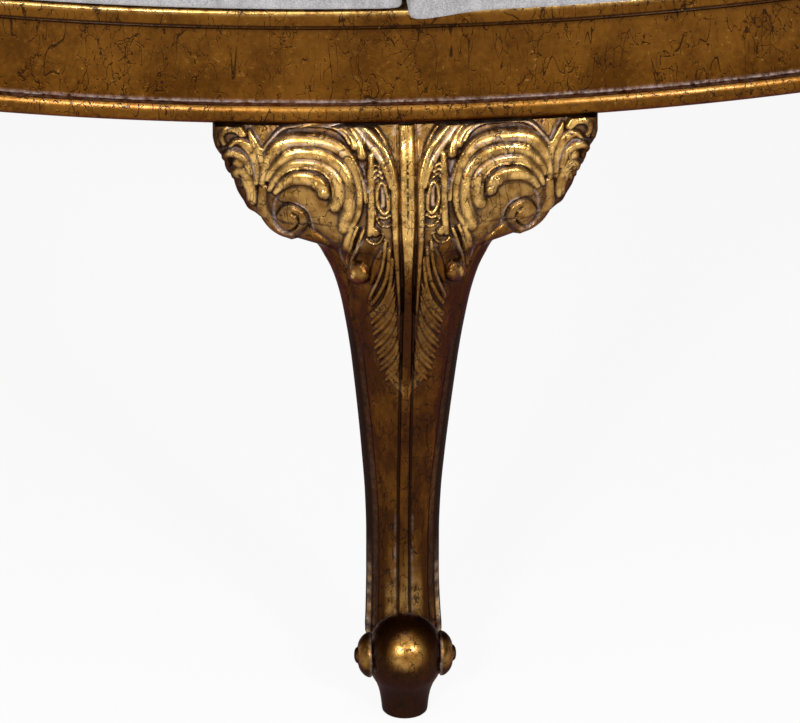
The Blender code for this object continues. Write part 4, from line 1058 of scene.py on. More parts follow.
def tree_node(tree, kind, inputs, settings=None, output=0):
    """Adds a node, fills or links its inputs, and gives one of its outputs."""
    made = tree.nodes.new(kind)
    for name, value in (settings or {}).items():
        setattr(made, name, value)
    for name, value in inputs.items():
        if isinstance(value, bpy.types.NodeSocket):
            tree.links.new(value, made.inputs[name])
        else:
            made.inputs[name].default_value = value
    return made.outputs[output]


def finished_tree(tree, geometry, finish):
    """Gives the result its material and ends the tree."""
    painted = tree_node(tree, "GeometryNodeSetMaterial", {"Geometry": geometry, "Material": finish})
    tree.links.new(painted, tree.nodes.new("NodeGroupOutput").inputs["Geometry"])
    return tree


def moulding_tree():
    inputs = {"Radius": "Float", "Start": "Float", "Sweep": "Float", "Steps": "Int", "Ends": "Bool",
              "Profile": "Object", "Finish": "Material"}
    tree = new_tree("moulding_sweep", inputs)
    given = tree.nodes.new("NodeGroupInput").outputs
    arc = tree_node(tree, "GeometryNodeCurveArc",
                    {"Resolution": given["Steps"], "Radius": given["Radius"], "Start Angle": given["Start"],
                     "Sweep Angle": given["Sweep"]}, {"mode": "RADIUS"})
    upright = tree_node(tree, "GeometryNodeSetCurveNormal", {"Curve": arc}, {"mode": "Z_UP"})
    drawn = tree_node(tree, "GeometryNodeObjectInfo", {"Object": given["Profile"]}, output="Geometry")
    section = tree_node(tree, "GeometryNodeMeshToCurve", {"Mesh": drawn})
    swept = tree_node(tree, "GeometryNodeCurveToMesh",
                      {"Curve": upright, "Profile Curve": section, "Fill Caps": given["Ends"]})
    joined = tree_node(tree, "GeometryNodeMergeByDistance", {"Geometry": swept, "Distance": MERGE_REACH})
    plain = tree_node(tree, "GeometryNodeRealizeInstances", {"Geometry": joined})
    return finished_tree(tree, plain, given["Finish"])


def grown(name, tree, start_mesh, values):
    """Runs a tree on a small mesh and keeps its result as a plain mesh."""
    holder = bpy.data.objects.new(name, start_mesh)
    scene.collection.objects.link(holder)
    modifier = holder.modifiers.new(name, "NODES")
    modifier.node_group = tree
    for item in tree.interface.items_tree:
        if item.in_out == "INPUT" and item.name in values:
            modifier[item.identifier] = values[item.name]
    mesh = bpy.data.meshes.new_from_object(holder.evaluated_get(bpy.context.evaluated_depsgraph_get()))
    bpy.data.objects.remove(holder)
    return mesh


def moulded(name, profile, radius, base, start, sweep, steps, ends):
    """A moulding whose profile is (out from the radius, up from the base) in millimetres."""
    drawing = bpy.data.meshes.new("profile")
    count = len(profile)
    edges = [(i, (i + 1) % count) for i in range(count)]
    drawing.from_pydata([(out * MM, -up * MM, 0) for out, up in profile], edges, [])
    pattern = bpy.data.objects.new("profile", drawing)
    values = {"Radius": radius, "Start": start, "Sweep": sweep, "Steps": steps, "Ends": ends,
              "Profile": pattern, "Finish": gilt}
    mesh = grown(name, sweep_tree, bpy.data.meshes.new(name), values)
    bpy.data.objects.remove(pattern)
    mesh.transform(Matrix.Translation((0, 0, base)))
    mesh.shade_smooth()
    mesh.set_sharp_from_angle(angle=math.radians(MOULDING_SHARP))
    return face_outwards(mesh)


sweep_tree = moulding_tree()
print(f"moulding tree with {len(sweep_tree.nodes)} nodes")

# %% [markdown]
# ## The gilded rail
# Under the cushions runs a rail in six sections: a half-round bead along its foot, a narrow ledge where
# pale dust lies, a tall hollow face, and a rounded fillet along its top with a fine quirk below it. The
# bead and the top edge are rubbed bright and carry painted highlights, the quirk is painted dark as its
# shadow, and the bead's underside is washed dark as painted shade. Section joints fall between the legs.

# %% Rail
BEAD_RADIUS = 5.8
COVE_FOOT = (7.7, 9.2)
COVE_HEAD = (12.6, 40.5)
FILLET_FACE = 10.5
FILLET_FOOT = 43.1
FILLET_ROUND = 1.2
RAIL_HEIGHT = (RAIL_TOP - RAIL_BOTTOM) / MM
RAIL_BACK = 52.0
RAIL_LIP = 36.0
DECK_REBATE = 12.3
SECTION_GAP = 0.0003
SECTION_STEPS = 73


def arc_points(centre, reach, first, last, count):
    """Points on an ellipse's arc, with angles in degrees."""
    angles = np.radians(np.linspace(first, last, count))
    return [(centre[0] + reach[0] * math.cos(a), centre[1] + reach[1] * math.sin(a)) for a in angles]


def rail_profile():
    """The section as (setback, height), from the foot of the bead up the front and down the back."""
    points = arc_points((BEAD_RADIUS, BEAD_RADIUS), (BEAD_RADIUS, BEAD_RADIUS), 270, 140, 22)
    points += [(1.75, 9.25), (2.05, 9.0)]
    points += [(setback, 8.9) for setback in (2.6, 3.6, 4.6, 5.6, 6.2, 6.7)]
    points += [(7.2, 8.95)]
    for t in np.concatenate([[0, 0.012, 0.026, 0.042], np.linspace(0.07, 1, 14)]):
        points.append((COVE_FOOT[0] + (COVE_HEAD[0] - COVE_FOOT[0]) * t + 2.4 * t * (1 - t),
                       COVE_FOOT[1] + (COVE_HEAD[1] - COVE_FOOT[1]) * t))
    points += [(13.1, 40.8), (13.4, 41.2), (13.4, 42.4), (13.1, 42.8), (11.4, FILLET_FOOT - 0.05)]
    points += [(10.8, FILLET_FOOT), (FILLET_FACE + 0.05, FILLET_FOOT + 0.3)]
    points += [(FILLET_FACE, FILLET_FOOT + rise) for rise in (0.8, 2.0, 3.2, 4.4, 5.0)]
    round_centre = (FILLET_FACE + FILLET_ROUND, RAIL_HEIGHT - FILLET_ROUND)
    points += arc_points(round_centre, (FILLET_ROUND, FILLET_ROUND), 180, 90, 8)
    deck_level = RAIL_HEIGHT - DECK_REBATE
    points += [(RAIL_LIP, RAIL_HEIGHT), (RAIL_LIP, deck_level), (RAIL_BACK, deck_level), (RAIL_BACK, 0.0)]
    return points


# Partly painted highlights on the bead and top edge, a painted shadow in the quirk, painted shade under the
# bead.
RAIL_WEAR_AND_LIGHT = (
    ("dust_and_sheen", 7.0, 9.0, 0.75, 1.5), ("dust_and_sheen", 4.4, 8.9, 1.6, 0.35), ("rubbed_and_highlit", 1.0, 8.6, 1.6, 0.12),
    ("hollow_and_shade", 13.2, 41.7, 1.4, 1.0), ("rubbed_and_highlit", 11.0, 49.5, 1.1, 0.85), ("wash_and_shade", 10.5, 44.0, 2.6, 0.2),
    ("wash_and_shade", 9.5, 17.0, 11.0, 0.20), ("wash_and_shade", 12.0, 34.0, 11.0, 0.24), ("wash_and_shade", 3.0, 0.3, 2.4, 0.75),
)
CHANNELS = {"hollow_and_shade": 0, "rubbed_and_highlit": 1, "wash_and_shade": 2, "dust_and_sheen": 3}


def wear_and_light_section(mesh, radius, base, marks):
    """Paints wear, highlights and shade on a moulding; a mark: channel, place in the section, reach,
    amount.
    """
    points = read_points(mesh)
    setback = (radius - np.hypot(points[:, 0], points[:, 1])) / MM
    up = (points[:, 2] - base) / MM
    colour = np.zeros((len(points), 4), np.float32)
    for channel, mark_back, mark_up, reach, amount in marks:
        spread = np.exp(-((setback - mark_back) ** 2 + (up - mark_up) ** 2) / reach ** 2)
        colour[:, CHANNELS[channel]] = np.maximum(colour[:, CHANNELS[channel]], amount * spread)
    paint(mesh, colour)


section_span = SEAT_ANGLE - SECTION_GAP / RAIL_RADIUS
rail_drawing = [(-setback, up) for setback, up in rail_profile()]
rail_mesh = moulded("moulded_rail", rail_drawing, RAIL_RADIUS, RAIL_BOTTOM, -math.pi / 2 - section_span / 2,
                    section_span, SECTION_STEPS, True)
wear_and_light_section(rail_mesh, RAIL_RADIUS, RAIL_BOTTOM, RAIL_WEAR_AND_LIGHT)
add_ring("moulded_rail", rail_mesh, gilt, "rail_section")
print(f"{SEATS} rail sections of {len(rail_mesh.polygons)} faces")

# %% [markdown]
# ## Seat cushions
# Each seat is a stuffed box cushion, cut to a sixth of the ring, with rounded edges and a crowned top. It
# starts as a rounded block a little smaller than the finished cushion, with its points closer together
# near the edges. Then Blender's cloth swells it with pressure while its foot is held, as stuffing fills a
# sewn cover, and what would pass into a neighbour is pressed flat against it. The joints between seats
# fall above the legs.

# %% Stuffing by cloth
CLOTH_FRAMES = 20
CLOTH_SETTINGS = {
    "quality": 6, "mass": 0.25, "tension_stiffness": 12, "compression_stiffness": 12, "shear_stiffness": 5,
    "bending_stiffness": 0.4, "vertex_group_mass": "held", "use_pressure": True,
}


def box_grid(counts):
    """The six sides of a unit box as one closed grid, with points closer together near the edges."""
    lines = []
    for count in counts:
        share = np.linspace(-1, 1, count)
        lines.append(0.6 * np.sin(share * math.pi / 2) + 0.4 * share)
    points, faces = [], []
    for axis in range(3):
        wide, tall = (i for i in range(3) if i != axis)
        for side in (-1.0, 1.0):
            first, second = np.meshgrid(lines[wide], lines[tall], indexing="ij")
            sheet = np.full((*first.shape, 3), side)
            sheet[..., wide], sheet[..., tall] = first, second
            offset = sum(len(part) for part in points)
            points.append(sheet.reshape(-1, 3))
            faces += [[offset + index for index in face] for face in grid_faces(*first.shape)]
    merged, places = np.unique(np.round(np.vstack(points), 6), axis=0, return_inverse=True)
    places = places.ravel()
    return merged, [[int(places[index]) for index in face] for face in faces]


def stuffed(mesh, held, pressure, most):
    """Swells a closed cover with pressure, moving no point further than most."""
    start = read_points(mesh)
    cover = bpy.data.objects.new("cover", mesh.copy())
    scene.collection.objects.link(cover)
    pins = cover.vertex_groups.new(name="held")
    pins.add([int(index) for index in np.nonzero(held)[0]], 1.0, "REPLACE")
    cloth = cover.modifiers.new("cloth", "CLOTH")
    for name, value in CLOTH_SETTINGS.items():
        setattr(cloth.settings, name, value)
    cloth.settings.uniform_pressure_force = pressure
    cloth.settings.effector_weights.gravity = 0
    for number in range(1, CLOTH_FRAMES + 1):
        scene.frame_set(number)
    settled = cover.evaluated_get(bpy.context.evaluated_depsgraph_get())
    end = read_points(settled.to_mesh())
    settled.to_mesh_clear()
    bpy.data.objects.remove(cover)
    scene.frame_set(1)
    shift = end - start
    length = np.maximum(np.linalg.norm(shift, axis=1, keepdims=True), 1e-9)
    return start + shift * np.tanh(length / most) * most / length


print("box grid and stuffing are ready")

# %% Seat cushions
SEAT_BASE, SEAT_CROWN = (corner.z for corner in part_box("seat_cushion_1"))
COLUMN_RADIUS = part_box("column_skin")[1].x
PAD_THICKNESS = 0.050
PAD_CLEARANCE = 0.006
SEAT_INNER = COLUMN_RADIUS + PAD_THICKNESS + PAD_CLEARANCE
SEAT_OUTER = RAIL_RADIUS - FILLET_FACE * MM
SEAT_SIDE = 0.0998
SEAT_POINTS = (50, 40, 24)
SEAT_HALF_WIDTH = 0.26
SEAT_PRESSURE = 4.0
SEAT_SWELL = 0.024
HELD_HEIGHT = 0.0012
CUSHION_START = 0.003
CROWN_START = 0.006
CROWN_ROOM = 0.004
RAIL_OVERHANG = 0.0005
FRONT_SWELL = 0.012
SAG = 0.0022
FOOT_ROUND = 0.0015
SHOULDER_ROUND = 0.030
SEAM_GAP = 0.0002
CROWN_SOFTNESS = 0.008
SEAT_SHIFTS = (0.0050, 0.0020, 0.0032, 0.0014, 0.0040, 0.0004)
SEAT_DROOPS = (0.0040, 0.0015, 0.0030, 0.0005, 0.0025, 0.0)


def to_ring(side, radius, height, gap):
    """A place in the seat: side runs from -1 to 1 between the joints at that radius."""
    angle = side * (SEAT_ANGLE / 2 - np.arcsin(gap / radius))
    return np.stack([radius * np.sin(angle), -radius * np.cos(angle), height], -1)


def cushion_block():
    unit, faces = box_grid(SEAT_POINTS)
    half = np.array([SEAT_HALF_WIDTH, (SEAT_OUTER - SEAT_INNER) / 2, SEAT_SIDE / 2])
    spread = unit * half
    rounding = FOOT_ROUND + (SHOULDER_ROUND - FOOT_ROUND) * smooth_step(-0.75, 0.9, unit[:, 2:])
    core = np.clip(spread, -(half - rounding), half - rounding)
    lean = spread - core
    spread = core + lean / np.linalg.norm(lean, axis=1, keepdims=True) * rounding
    side, reach, rise = (spread / half).T
    topness = smooth_step(-0.2, 1.0, rise)
    crown_rise = SEAT_CROWN - SEAT_BASE - SEAT_SIDE - CROWN_START
    crown = crown_rise * topness * (1 - side ** 4) * (1 - reach ** 4)
    above_foot = smooth_step(-1.0, -0.93, rise)
    radius = (SEAT_INNER + SEAT_OUTER) / 2 + spread[:, 1] - above_foot * CUSHION_START * reach
    height = SEAT_BASE + SEAT_SIDE / 2 + spread[:, 2] + crown
    points = to_ring(side, radius, height, SEAM_GAP)
    return face_outwards(mesh_from_points("velvet_cushion", points, faces))


def pressed_in(points):
    """Keeps a swollen cushion on its deck, off its neighbours and the pads and near the rail."""
    radius = np.hypot(points[:, 0], points[:, 1])
    angle = np.arctan2(points[:, 0], -points[:, 1])
    room = SEAT_CROWN + CROWN_ROOM - points[:, 2]
    height = SEAT_CROWN + CROWN_ROOM - CROWN_SOFTNESS * np.logaddexp(0, room / CROWN_SOFTNESS)
    height = np.maximum(height, SEAT_BASE)
    lift = (height - SEAT_BASE) / (SEAT_CROWN - SEAT_BASE)
    overhang = RAIL_OVERHANG + FRONT_SWELL * np.sqrt(np.clip(lift * 2.2, 0, 1))
    radius = np.clip(radius, SEAT_INNER, SEAT_OUTER + overhang)
    limit = SEAT_ANGLE / 2 - np.arcsin(SEAM_GAP / radius)
    angle = np.clip(angle, -limit, limit)
    return np.stack([radius * np.sin(angle), -radius * np.cos(angle), height], -1)


def uneven(points, seed):
    """A small sag of its own for each cushion, so that no two are alike."""
    x, y, z = points.T
    lift = np.clip((z - SEAT_BASE) / (SEAT_CROWN - SEAT_BASE), 0, 1)
    wave = np.sin(x * 13 + seed * 1.7) * np.sin(y * 11 + seed * 2.3)
    wave += 0.5 * np.sin(x * 29 + y * 23 + seed * 3.1)
    sunk = points.copy()
    sunk[:, 2] -= SAG * lift ** 2 * (wave + 1.2)
    return sunk


print(f"seat from {SEAT_INNER:.3f} to {SEAT_OUTER:.3f}, {SEAT_CROWN:.3f} high")

# %% Stuffed seats
def over_the_rail(points, shift, droop):
    """Pushes a cushion's front out a little, and lets its end sag over the rail beside a joint."""
    radius = np.hypot(points[:, 0], points[:, 1])
    outward = points * np.array([1, 1, 0]) / radius[:, None]
    points = points + outward * (shift * smooth_step(SEAT_INNER + 0.05, SEAT_OUTER, radius))[:, None]
    from_joint = np.degrees(np.arctan2(points[:, 0], -points[:, 1])) + math.degrees(SEAT_ANGLE / 2)
    radius = np.hypot(points[:, 0], points[:, 1])
    sagging = smooth_step(SEAT_OUTER + 0.0004, SEAT_OUTER + 0.0024, radius)
    sagging *= smooth_step(2.6, 0.5, from_joint)
    sagging *= smooth_step(SEAT_BASE + 0.03, SEAT_BASE + 0.004, points[:, 2])
    points[:, 2] -= droop * sagging
    return points


cushion_mesh = cushion_block()
start_points = read_points(cushion_mesh)
held = start_points[:, 2] < SEAT_BASE + HELD_HEIGHT
full = pressed_in(stuffed(cushion_mesh, held, SEAT_PRESSURE, SEAT_SWELL))
for index in range(SEATS):
    mesh = cushion_mesh.copy()
    write_points(mesh, over_the_rail(uneven(full, index), SEAT_SHIFTS[index], SEAT_DROOPS[index]))
    mesh.transform(Matrix.Rotation((index + 0.5) * SEAT_ANGLE, 4, "Z"))
    stands_for = [f"seat_cushion_{index + 1}"]
    cushion = add_piece(f"velvet_cushion_{index + 1}", mesh, velvet, stands_for)
    finer = cushion.modifiers.new("finer", "SUBSURF")
    finer.levels = finer.render_levels = 1
print(f"{SEATS} cushions of {len(cushion_mesh.polygons)} faces, swollen by up to "
      f"{np.linalg.norm(full - start_points, axis=1).max() / MM:.0f} mm")

# %% [markdown]
# ## Buttoned back pads
# Six pads clothe the column. Their covered buttons sit in a quincunx, and between neighbouring buttons
# the velvet folds into pleats, so that it swells in diamonds. The pleats and button hollows are pressed
# into the pad's front first, as lines between buttons, and then cloth swells the rest while pleats,
# buttons, seams and back are held.

# %% Back pads
COLUMN_FOOT, COLUMN_HEAD = (corner.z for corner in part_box("column_skin"))
COLUMN_HEAD_RADIUS = 0.165
PAD_EDGE = 0.034
PAD_HEAD_ROUND = 0.030
TUFT_PITCH = 0.080
TUFT_ROWS = 5
TUFT_TOP_MARGIN = 0.120
PAD_COLUMNS = 72
PAD_ROWS = 190
PAD_LIFT = 0.0005
PAD_SEAM = 0.0008
SKIN_GAP = 0.0006
PAD_SIDES = np.array([0.75, 0.5, 0.25])
PAD_BACK_POINTS = 15
PLEAT_DEPTH = 0.0055
PLEAT_REACH = 0.011
FOLD_DEPTH = 0.0035
FOLD_REACH = 0.0035
BUTTON_DEPTH = 0.0170
BUTTON_REACH = 0.017
PLEAT_HELD = 0.0028
BUTTON_HELD = 0.011
HELD_ROWS = 4
HELD_COLUMNS = 3
PAD_PRESSURE = 3.0
PAD_SWELL = 0.007


def column_radius(level):
    share = (level - COLUMN_FOOT) / (COLUMN_HEAD - COLUMN_FOOT)
    return COLUMN_RADIUS + (COLUMN_HEAD_RADIUS - COLUMN_RADIUS) * share


def button_places():
    """Each button's share of the half width and its level."""
    lowest = COLUMN_HEAD - TUFT_TOP_MARGIN - (TUFT_ROWS - 1) * TUFT_PITCH
    places = []
    for row in range(TUFT_ROWS):
        for share in ((0.0,) if row % 2 else (-0.5, 0.5)):
            places.append((share, lowest + row * TUFT_PITCH))
    return places


def pleat_lines():
    """Folds from button to button and to the seams, and straight folds to the head and the foot."""
    lines = []
    places = button_places()
    levels = sorted({level for share, level in places})
    for share, level in places:
        for other in (level - TUFT_PITCH, level + TUFT_PITCH):
            if levels[0] - 1e-6 <= other <= levels[-1] + 1e-6:
                lines += [((share, level), (share + turn, other)) for turn in (-0.5, 0.5)]
    lines += [((share, levels[0]), (share, COLUMN_FOOT)) for share in (-0.5, 0.5)]
    lines += [((share, levels[-1]), (share, COLUMN_HEAD)) for share in (-0.5, 0.5)]
    return lines


def pad_front(share, level):
    """How far the pad stands off the column, and how near each point is to a pleat and to a button."""
    scale = SEAT_ANGLE / 2 * (column_radius(level) + PAD_THICKNESS)
    x = share * scale
    pleat = np.full(share.shape, 1.0)
    for (share_0, level_0), (share_1, level_1) in pleat_lines():
        along, off = from_line(x, level, (share_0 * scale, level_0), (share_1 * scale, level_1))
        pleat = np.minimum(pleat, off)
    button = np.full(share.shape, 1.0)
    for share_0, level_0 in button_places():
        button = np.minimum(button, np.hypot(x - share_0 * scale, level - level_0))
    seam = 1 - np.abs(share) ** 5
    head = np.clip((COLUMN_HEAD - level) / PAD_HEAD_ROUND, 0, 1)
    stand = PAD_EDGE + (PAD_THICKNESS - PAD_EDGE) * seam * np.sqrt(1 - (1 - head) ** 2)
    stand -= PLEAT_DEPTH * np.exp(-pleat / PLEAT_REACH) + FOLD_DEPTH * np.exp(-(pleat / FOLD_REACH) ** 2)
    stand -= BUTTON_DEPTH * np.exp(-(button / BUTTON_REACH) ** 2)
    return stand, pleat, button


print(f"{len(button_places())} buttons and {len(pleat_lines())} pleats on each pad")

# %% Stuffed pads
pad_levels = np.linspace(COLUMN_FOOT + PAD_LIFT, COLUMN_HEAD, PAD_ROWS)
pad_share, pad_level = np.meshgrid(np.linspace(-1, 1, PAD_COLUMNS + 1), pad_levels)
stand, pleat, button = pad_front(pad_share, pad_level)
pad_limit = SEAT_ANGLE / 2 - PAD_SEAM / column_radius(pad_level)
skin = column_radius(pad_level) + SKIN_GAP


def pad_ring_points():
    """Every level as a closed ring: the quilted front, one side, the back and the other side."""
    def at(radius, angle):
        height = np.broadcast_to(pad_level[:, :1], radius.shape)
        return np.stack([radius * np.sin(angle), -radius * np.cos(angle), height], -1)

    quilt = at(skin + stand, pad_share * pad_limit)
    edge = pad_limit[:, :1] * np.ones(len(PAD_SIDES))
    right = at(skin[:, :1] + stand[:, -1:] * PAD_SIDES, edge)
    back_share = np.linspace(1, -1, PAD_BACK_POINTS)
    rear = at(skin[:, :1] * np.ones(PAD_BACK_POINTS), pad_limit[:, :1] * back_share)
    left = at(skin[:, :1] + stand[:, :1] * PAD_SIDES[::-1], -edge)
    return np.concatenate([quilt, right, rear, left], 1)


pad_rings = pad_ring_points()
pad_size = pad_rings.shape[1]
pad_faces = grid_faces(PAD_ROWS, pad_size, closed=True)
pad_faces += [list(range(pad_size))[::-1], list(range((PAD_ROWS - 1) * pad_size, PAD_ROWS * pad_size))]
pad_mesh = face_outwards(mesh_from_points("buttoned_pad", pad_rings.reshape(-1, 3), pad_faces, sharp=75))
pad_held = np.ones((PAD_ROWS, pad_size), bool)
loose = (slice(HELD_ROWS, -HELD_ROWS), slice(HELD_COLUMNS, PAD_COLUMNS + 1 - HELD_COLUMNS))
pad_held[loose] = ((pleat < PLEAT_HELD) | (button < BUTTON_HELD))[loose]
write_points(pad_mesh, stuffed(pad_mesh, pad_held.ravel(), PAD_PRESSURE, PAD_SWELL))
for pad in add_ring("buttoned_pad", pad_mesh, velvet, "back_pad", 0.5):
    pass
print(f"{SEATS} back pads with {len(button_places())} buttons each and {len(pad_mesh.polygons)} faces")

# %% [markdown]
# ## Covered buttons
# The buttons are what repeats, so a tree sets one low dome on every marked point and turns it to face out
# of the pad. The points carry their outward direction as an attribute. The result is realised and made a
# plain mesh.

# %% Covered buttons
BUTTON_RADIUS = 0.0105
BUTTON_FLATNESS = 0.55
BUTTON_STAND = 0.0015
BUTTON_TILT = 0.08


def button_tree():
    inputs = {"Geometry": "Geometry", "Radius": "Float", "Finish": "Material"}
    tree = new_tree("covered_buttons", inputs)
    given = tree.nodes.new("NodeGroupInput").outputs
    dome_inputs = {"Segments": 20, "Rings": 10, "Radius": given["Radius"]}
    dome = tree_node(tree, "GeometryNodeMeshUVSphere", dome_inputs)
    low = tree_node(tree, "GeometryNodeTransform", {"Geometry": dome, "Scale": (1, 1, BUTTON_FLATNESS)})
    facing = tree_node(tree, "GeometryNodeInputNamedAttribute", {"Name": "facing"},
                       {"data_type": "FLOAT_VECTOR"}, "Attribute")
    turn = tree_node(tree, "FunctionNodeAlignRotationToVector", {"Vector": facing}, {"axis": "Z"})
    points = tree_node(tree, "GeometryNodeMeshToPoints", {"Mesh": given["Geometry"]})
    sewn = tree_node(tree, "GeometryNodeInstanceOnPoints",
                     {"Points": points, "Instance": low, "Rotation": turn})
    plain = tree_node(tree, "GeometryNodeRealizeInstances", {"Geometry": sewn})
    soft = tree_node(tree, "GeometryNodeSetShadeSmooth", {"Geometry": plain})
    return finished_tree(tree, soft, given["Finish"])


def button_points():
    spots, facings = [], []
    for seat in range(SEATS):
        for share_0, level_0 in button_places():
            row = np.argmin(np.abs(pad_level[:, 0] - level_0))
            column = np.argmin(np.abs(pad_share[0] - share_0))
            angle = pad_share[row, column] * pad_limit[row, column] + (seat + 0.5) * SEAT_ANGLE
            out = Vector((math.sin(angle), -math.cos(angle), 0.0))
            reach = skin[row, column] + stand[row, column] + BUTTON_STAND
            spots.append(out * reach + Vector((0, 0, level_0)))
            facings.append((out + Vector((0, 0, BUTTON_TILT))).normalized())
    mesh = bpy.data.meshes.new("button_points")
    mesh.from_pydata(spots, [], [])
    layer = mesh.attributes.new("facing", "FLOAT_VECTOR", "POINT")
    layer.data.foreach_set("vector", np.array(facings, np.float32).ravel())
    return mesh


button_values = {"Radius": BUTTON_RADIUS, "Finish": velvet}
buttons = grown("covered_buttons", button_tree(), button_points(), button_values)
add_piece("covered_buttons", buttons, velvet)
print(f"{SEATS * len(button_places())} covered buttons, {len(buttons.polygons)} faces")

# %% [markdown]
# ## Crown and top pad
# A gilded moulding caps the pads, in the same style as the rail and swept by the same tree, and a low
# velvet dome fills it. The dome is stuffed like the cushions, with its edge held.

# %% Crown and top pad
CROWN_LOW, CROWN_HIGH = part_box("crown_ring")
CROWN_RADIUS = CROWN_HIGH.x
CROWN_WIDTH = 75.0
CROWN_RISE = (CROWN_HIGH.z - CROWN_LOW.z) / MM
CROWN_STEPS = 193


def crown_profile():
    """From the foot of the bead up the front, over the rim and down the inside, as (setback, height)."""
    points = arc_points((6, 6), (6, 6), 270, 90, 20)
    points += [(6.6, 11.6), (7.2, 11.4), (9.4, 11.5), (10.4, 12.0)]
    points += [(10.6 + 44 * math.sin(t), 30 - 18 * math.cos(t)) for t in np.linspace(0.05, math.pi / 2, 22)]
    points += [(56.0, 29.4), (57.0, 29.6)]
    points += arc_points((64, 30), (7, CROWN_RISE - 30), 180, 0, 16)
    points += [(CROWN_WIDTH, 29.0), (CROWN_WIDTH, 0.0)]
    return points


CROWN_WEAR = (
    ("dust_and_sheen", 8.4, 11.6, 2.2, 1.0), ("hollow_and_shade", 8.2, 11.6, 3.0, 0.8), ("hollow_and_shade", 56.2, 29.4, 2.0, 1.0),
    ("rubbed_and_highlit", 0.8, 7.5, 3.0, 0.6), ("rubbed_and_highlit", 63.0, 36.0, 4.0, 0.8), ("wash_and_shade", 24.0, 20.0, 12.0, 0.5),
)
crown_drawing = [(-setback, up) for setback, up in crown_profile()]
crown_mesh = moulded("gilded_crown", crown_drawing, CROWN_RADIUS, CROWN_LOW.z, 0.0, math.tau,
                     CROWN_STEPS, False)
wear_and_light_section(crown_mesh, CROWN_RADIUS, CROWN_LOW.z, CROWN_WEAR)
add_piece("gilded_crown", crown_mesh, gilt, ["crown_ring"])
print(f"crown of {len(crown_mesh.polygons)} faces, radius {CROWN_RADIUS:.3f}")

# %% Top pad
TOP_LOW, TOP_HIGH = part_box("top_pad")
TOP_GAP = 0.0008
TOP_RADIUS = CROWN_RADIUS - CROWN_WIDTH * MM - TOP_GAP
TOP_EDGE_SHARE = 0.60
TOP_HELD = 0.004
TOP_PRESSURE = 3.0
TOP_SWELL = 0.006


def top_profile():
    """The dome from its pole down its rounded edge to its flat base."""
    rise = TOP_HIGH.z - TOP_LOW.z
    edge = rise * TOP_EDGE_SHARE
    over = [(TOP_RADIUS * math.sin(t), edge + (rise - edge) * math.cos(t))
            for t in np.linspace(0, math.pi / 2, 30)]
    return over + [(TOP_RADIUS, edge * 0.5), (TOP_RADIUS, 0.002), (TOP_RADIUS - 0.003, 0.0), (0.0, 0.0)]


points, faces = turned(top_profile(), 96)
points[:, 2] += TOP_LOW.z
top_mesh = face_outwards(mesh_from_points("velvet_top", points, faces, sharp=80))
top_held = np.hypot(points[:, 0], points[:, 1]) > TOP_RADIUS - TOP_HELD
top_held |= points[:, 2] < TOP_LOW.z + TOP_HELD
write_points(top_mesh, stuffed(top_mesh, top_held, TOP_PRESSURE, TOP_SWELL))
top = add_piece("velvet_top", top_mesh, velvet, ["top_pad"])
print(f"top pad of {len(top_mesh.polygons)} faces")

# %% [markdown]
# ## Underside and inner pieces
# Below, black cotton cloth is tacked over the frame as a dust cover: one round sheet, cut flat, with a
# slight sag. The beech, plywood, steel and nylon inside keep their solids and get finishes of their own.

# %% Dust cover
COVER_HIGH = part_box("dust_cover")[1]
COVER_MARGIN = 0.001
COVER_RADIUS = COVER_HIGH.x - COVER_MARGIN
COVER_SAG = 0.005
COVER_RIPPLE = 0.0006
COVER_DROP = 0.0006
BLACK_THREAD = (0.010, 0.010, 0.011)
WORN_THREAD = (0.040, 0.039, 0.041)


def black_weave():
    finish = Finish("black_cotton")
    threads = [finish.node("ShaderNodeTexWave", {"bands_direction": axis},
                           {"Vector": finish.place, "Scale": 260.0, "Distortion": 0.6}, 1) for axis in "XY"]
    fuzz = finish.noise(90, 4.0)
    weave = threads[0] * 0.5 + threads[1] * 0.5
    return finish.shader({
        "Base Color": finish.blend((weave * 0.6 + fuzz * 0.4).held(), BLACK_THREAD, WORN_THREAD),
        "Roughness": 0.95,
        "Normal": finish.bump(weave, 0.0004, 0.6),
    })


def cover_points(rings=24, count=120):
    angles = np.arange(count) * math.tau / count
    points = [(0.0, 0.0, -COVER_SAG)]
    for ring in range(1, rings + 1):
        radius = ring / rings
        ripple = COVER_RIPPLE * np.sin(angles * 18) * radius ** 6
        for angle, wave in zip(angles, ripple):
            points.append((COVER_RADIUS * radius * math.cos(angle), COVER_RADIUS * radius * math.sin(angle),
                           -COVER_SAG * (1 - radius ** 2) + wave * (1 - radius)))
    faces = [[0, 1 + i, 1 + (i + 1) % count] for i in range(count)]
    faces += [[1 + index for index in face] for face in grid_faces(rings, count, closed=True)]
    return np.array(points) + np.array([0, 0, COVER_HIGH.z - COVER_DROP]), faces


points, faces = cover_points()
cover_mesh = face_outwards(mesh_from_points("underside_cloth", points, faces))
cover = add_piece("underside_cloth", cover_mesh, black_weave(), ["dust_cover"])
print(f"dust cover cut to a circle of {2 * COVER_RADIUS:.3f} m")

# %% Inner finishes
def timber(name, dark, light, grain):
    """Wood with long grain, fine pores and slow changes of tone."""
    finish = Finish(name)
    long_grain = finish.noise(grain, 6.0, 0.6, at=finish.stretched((1, 1, 9), (0.2, 0.1, 0)))
    pores = finish.noise(700, 2.0, 0.6, at=finish.stretched((1, 1, 7)))
    tone = finish.noise(6, 2.0)
    figure = (long_grain * 0.7 + tone * 0.4 - pores.step(0.62, 0.72) * 0.25).held()
    return finish.shader({
        "Base Color": finish.blend(figure, dark, light),
        "Roughness": 0.55 + pores * 0.2,
        "Normal": finish.bump(long_grain * 0.5 + pores * 0.4, 0.0004, 0.4),
    })


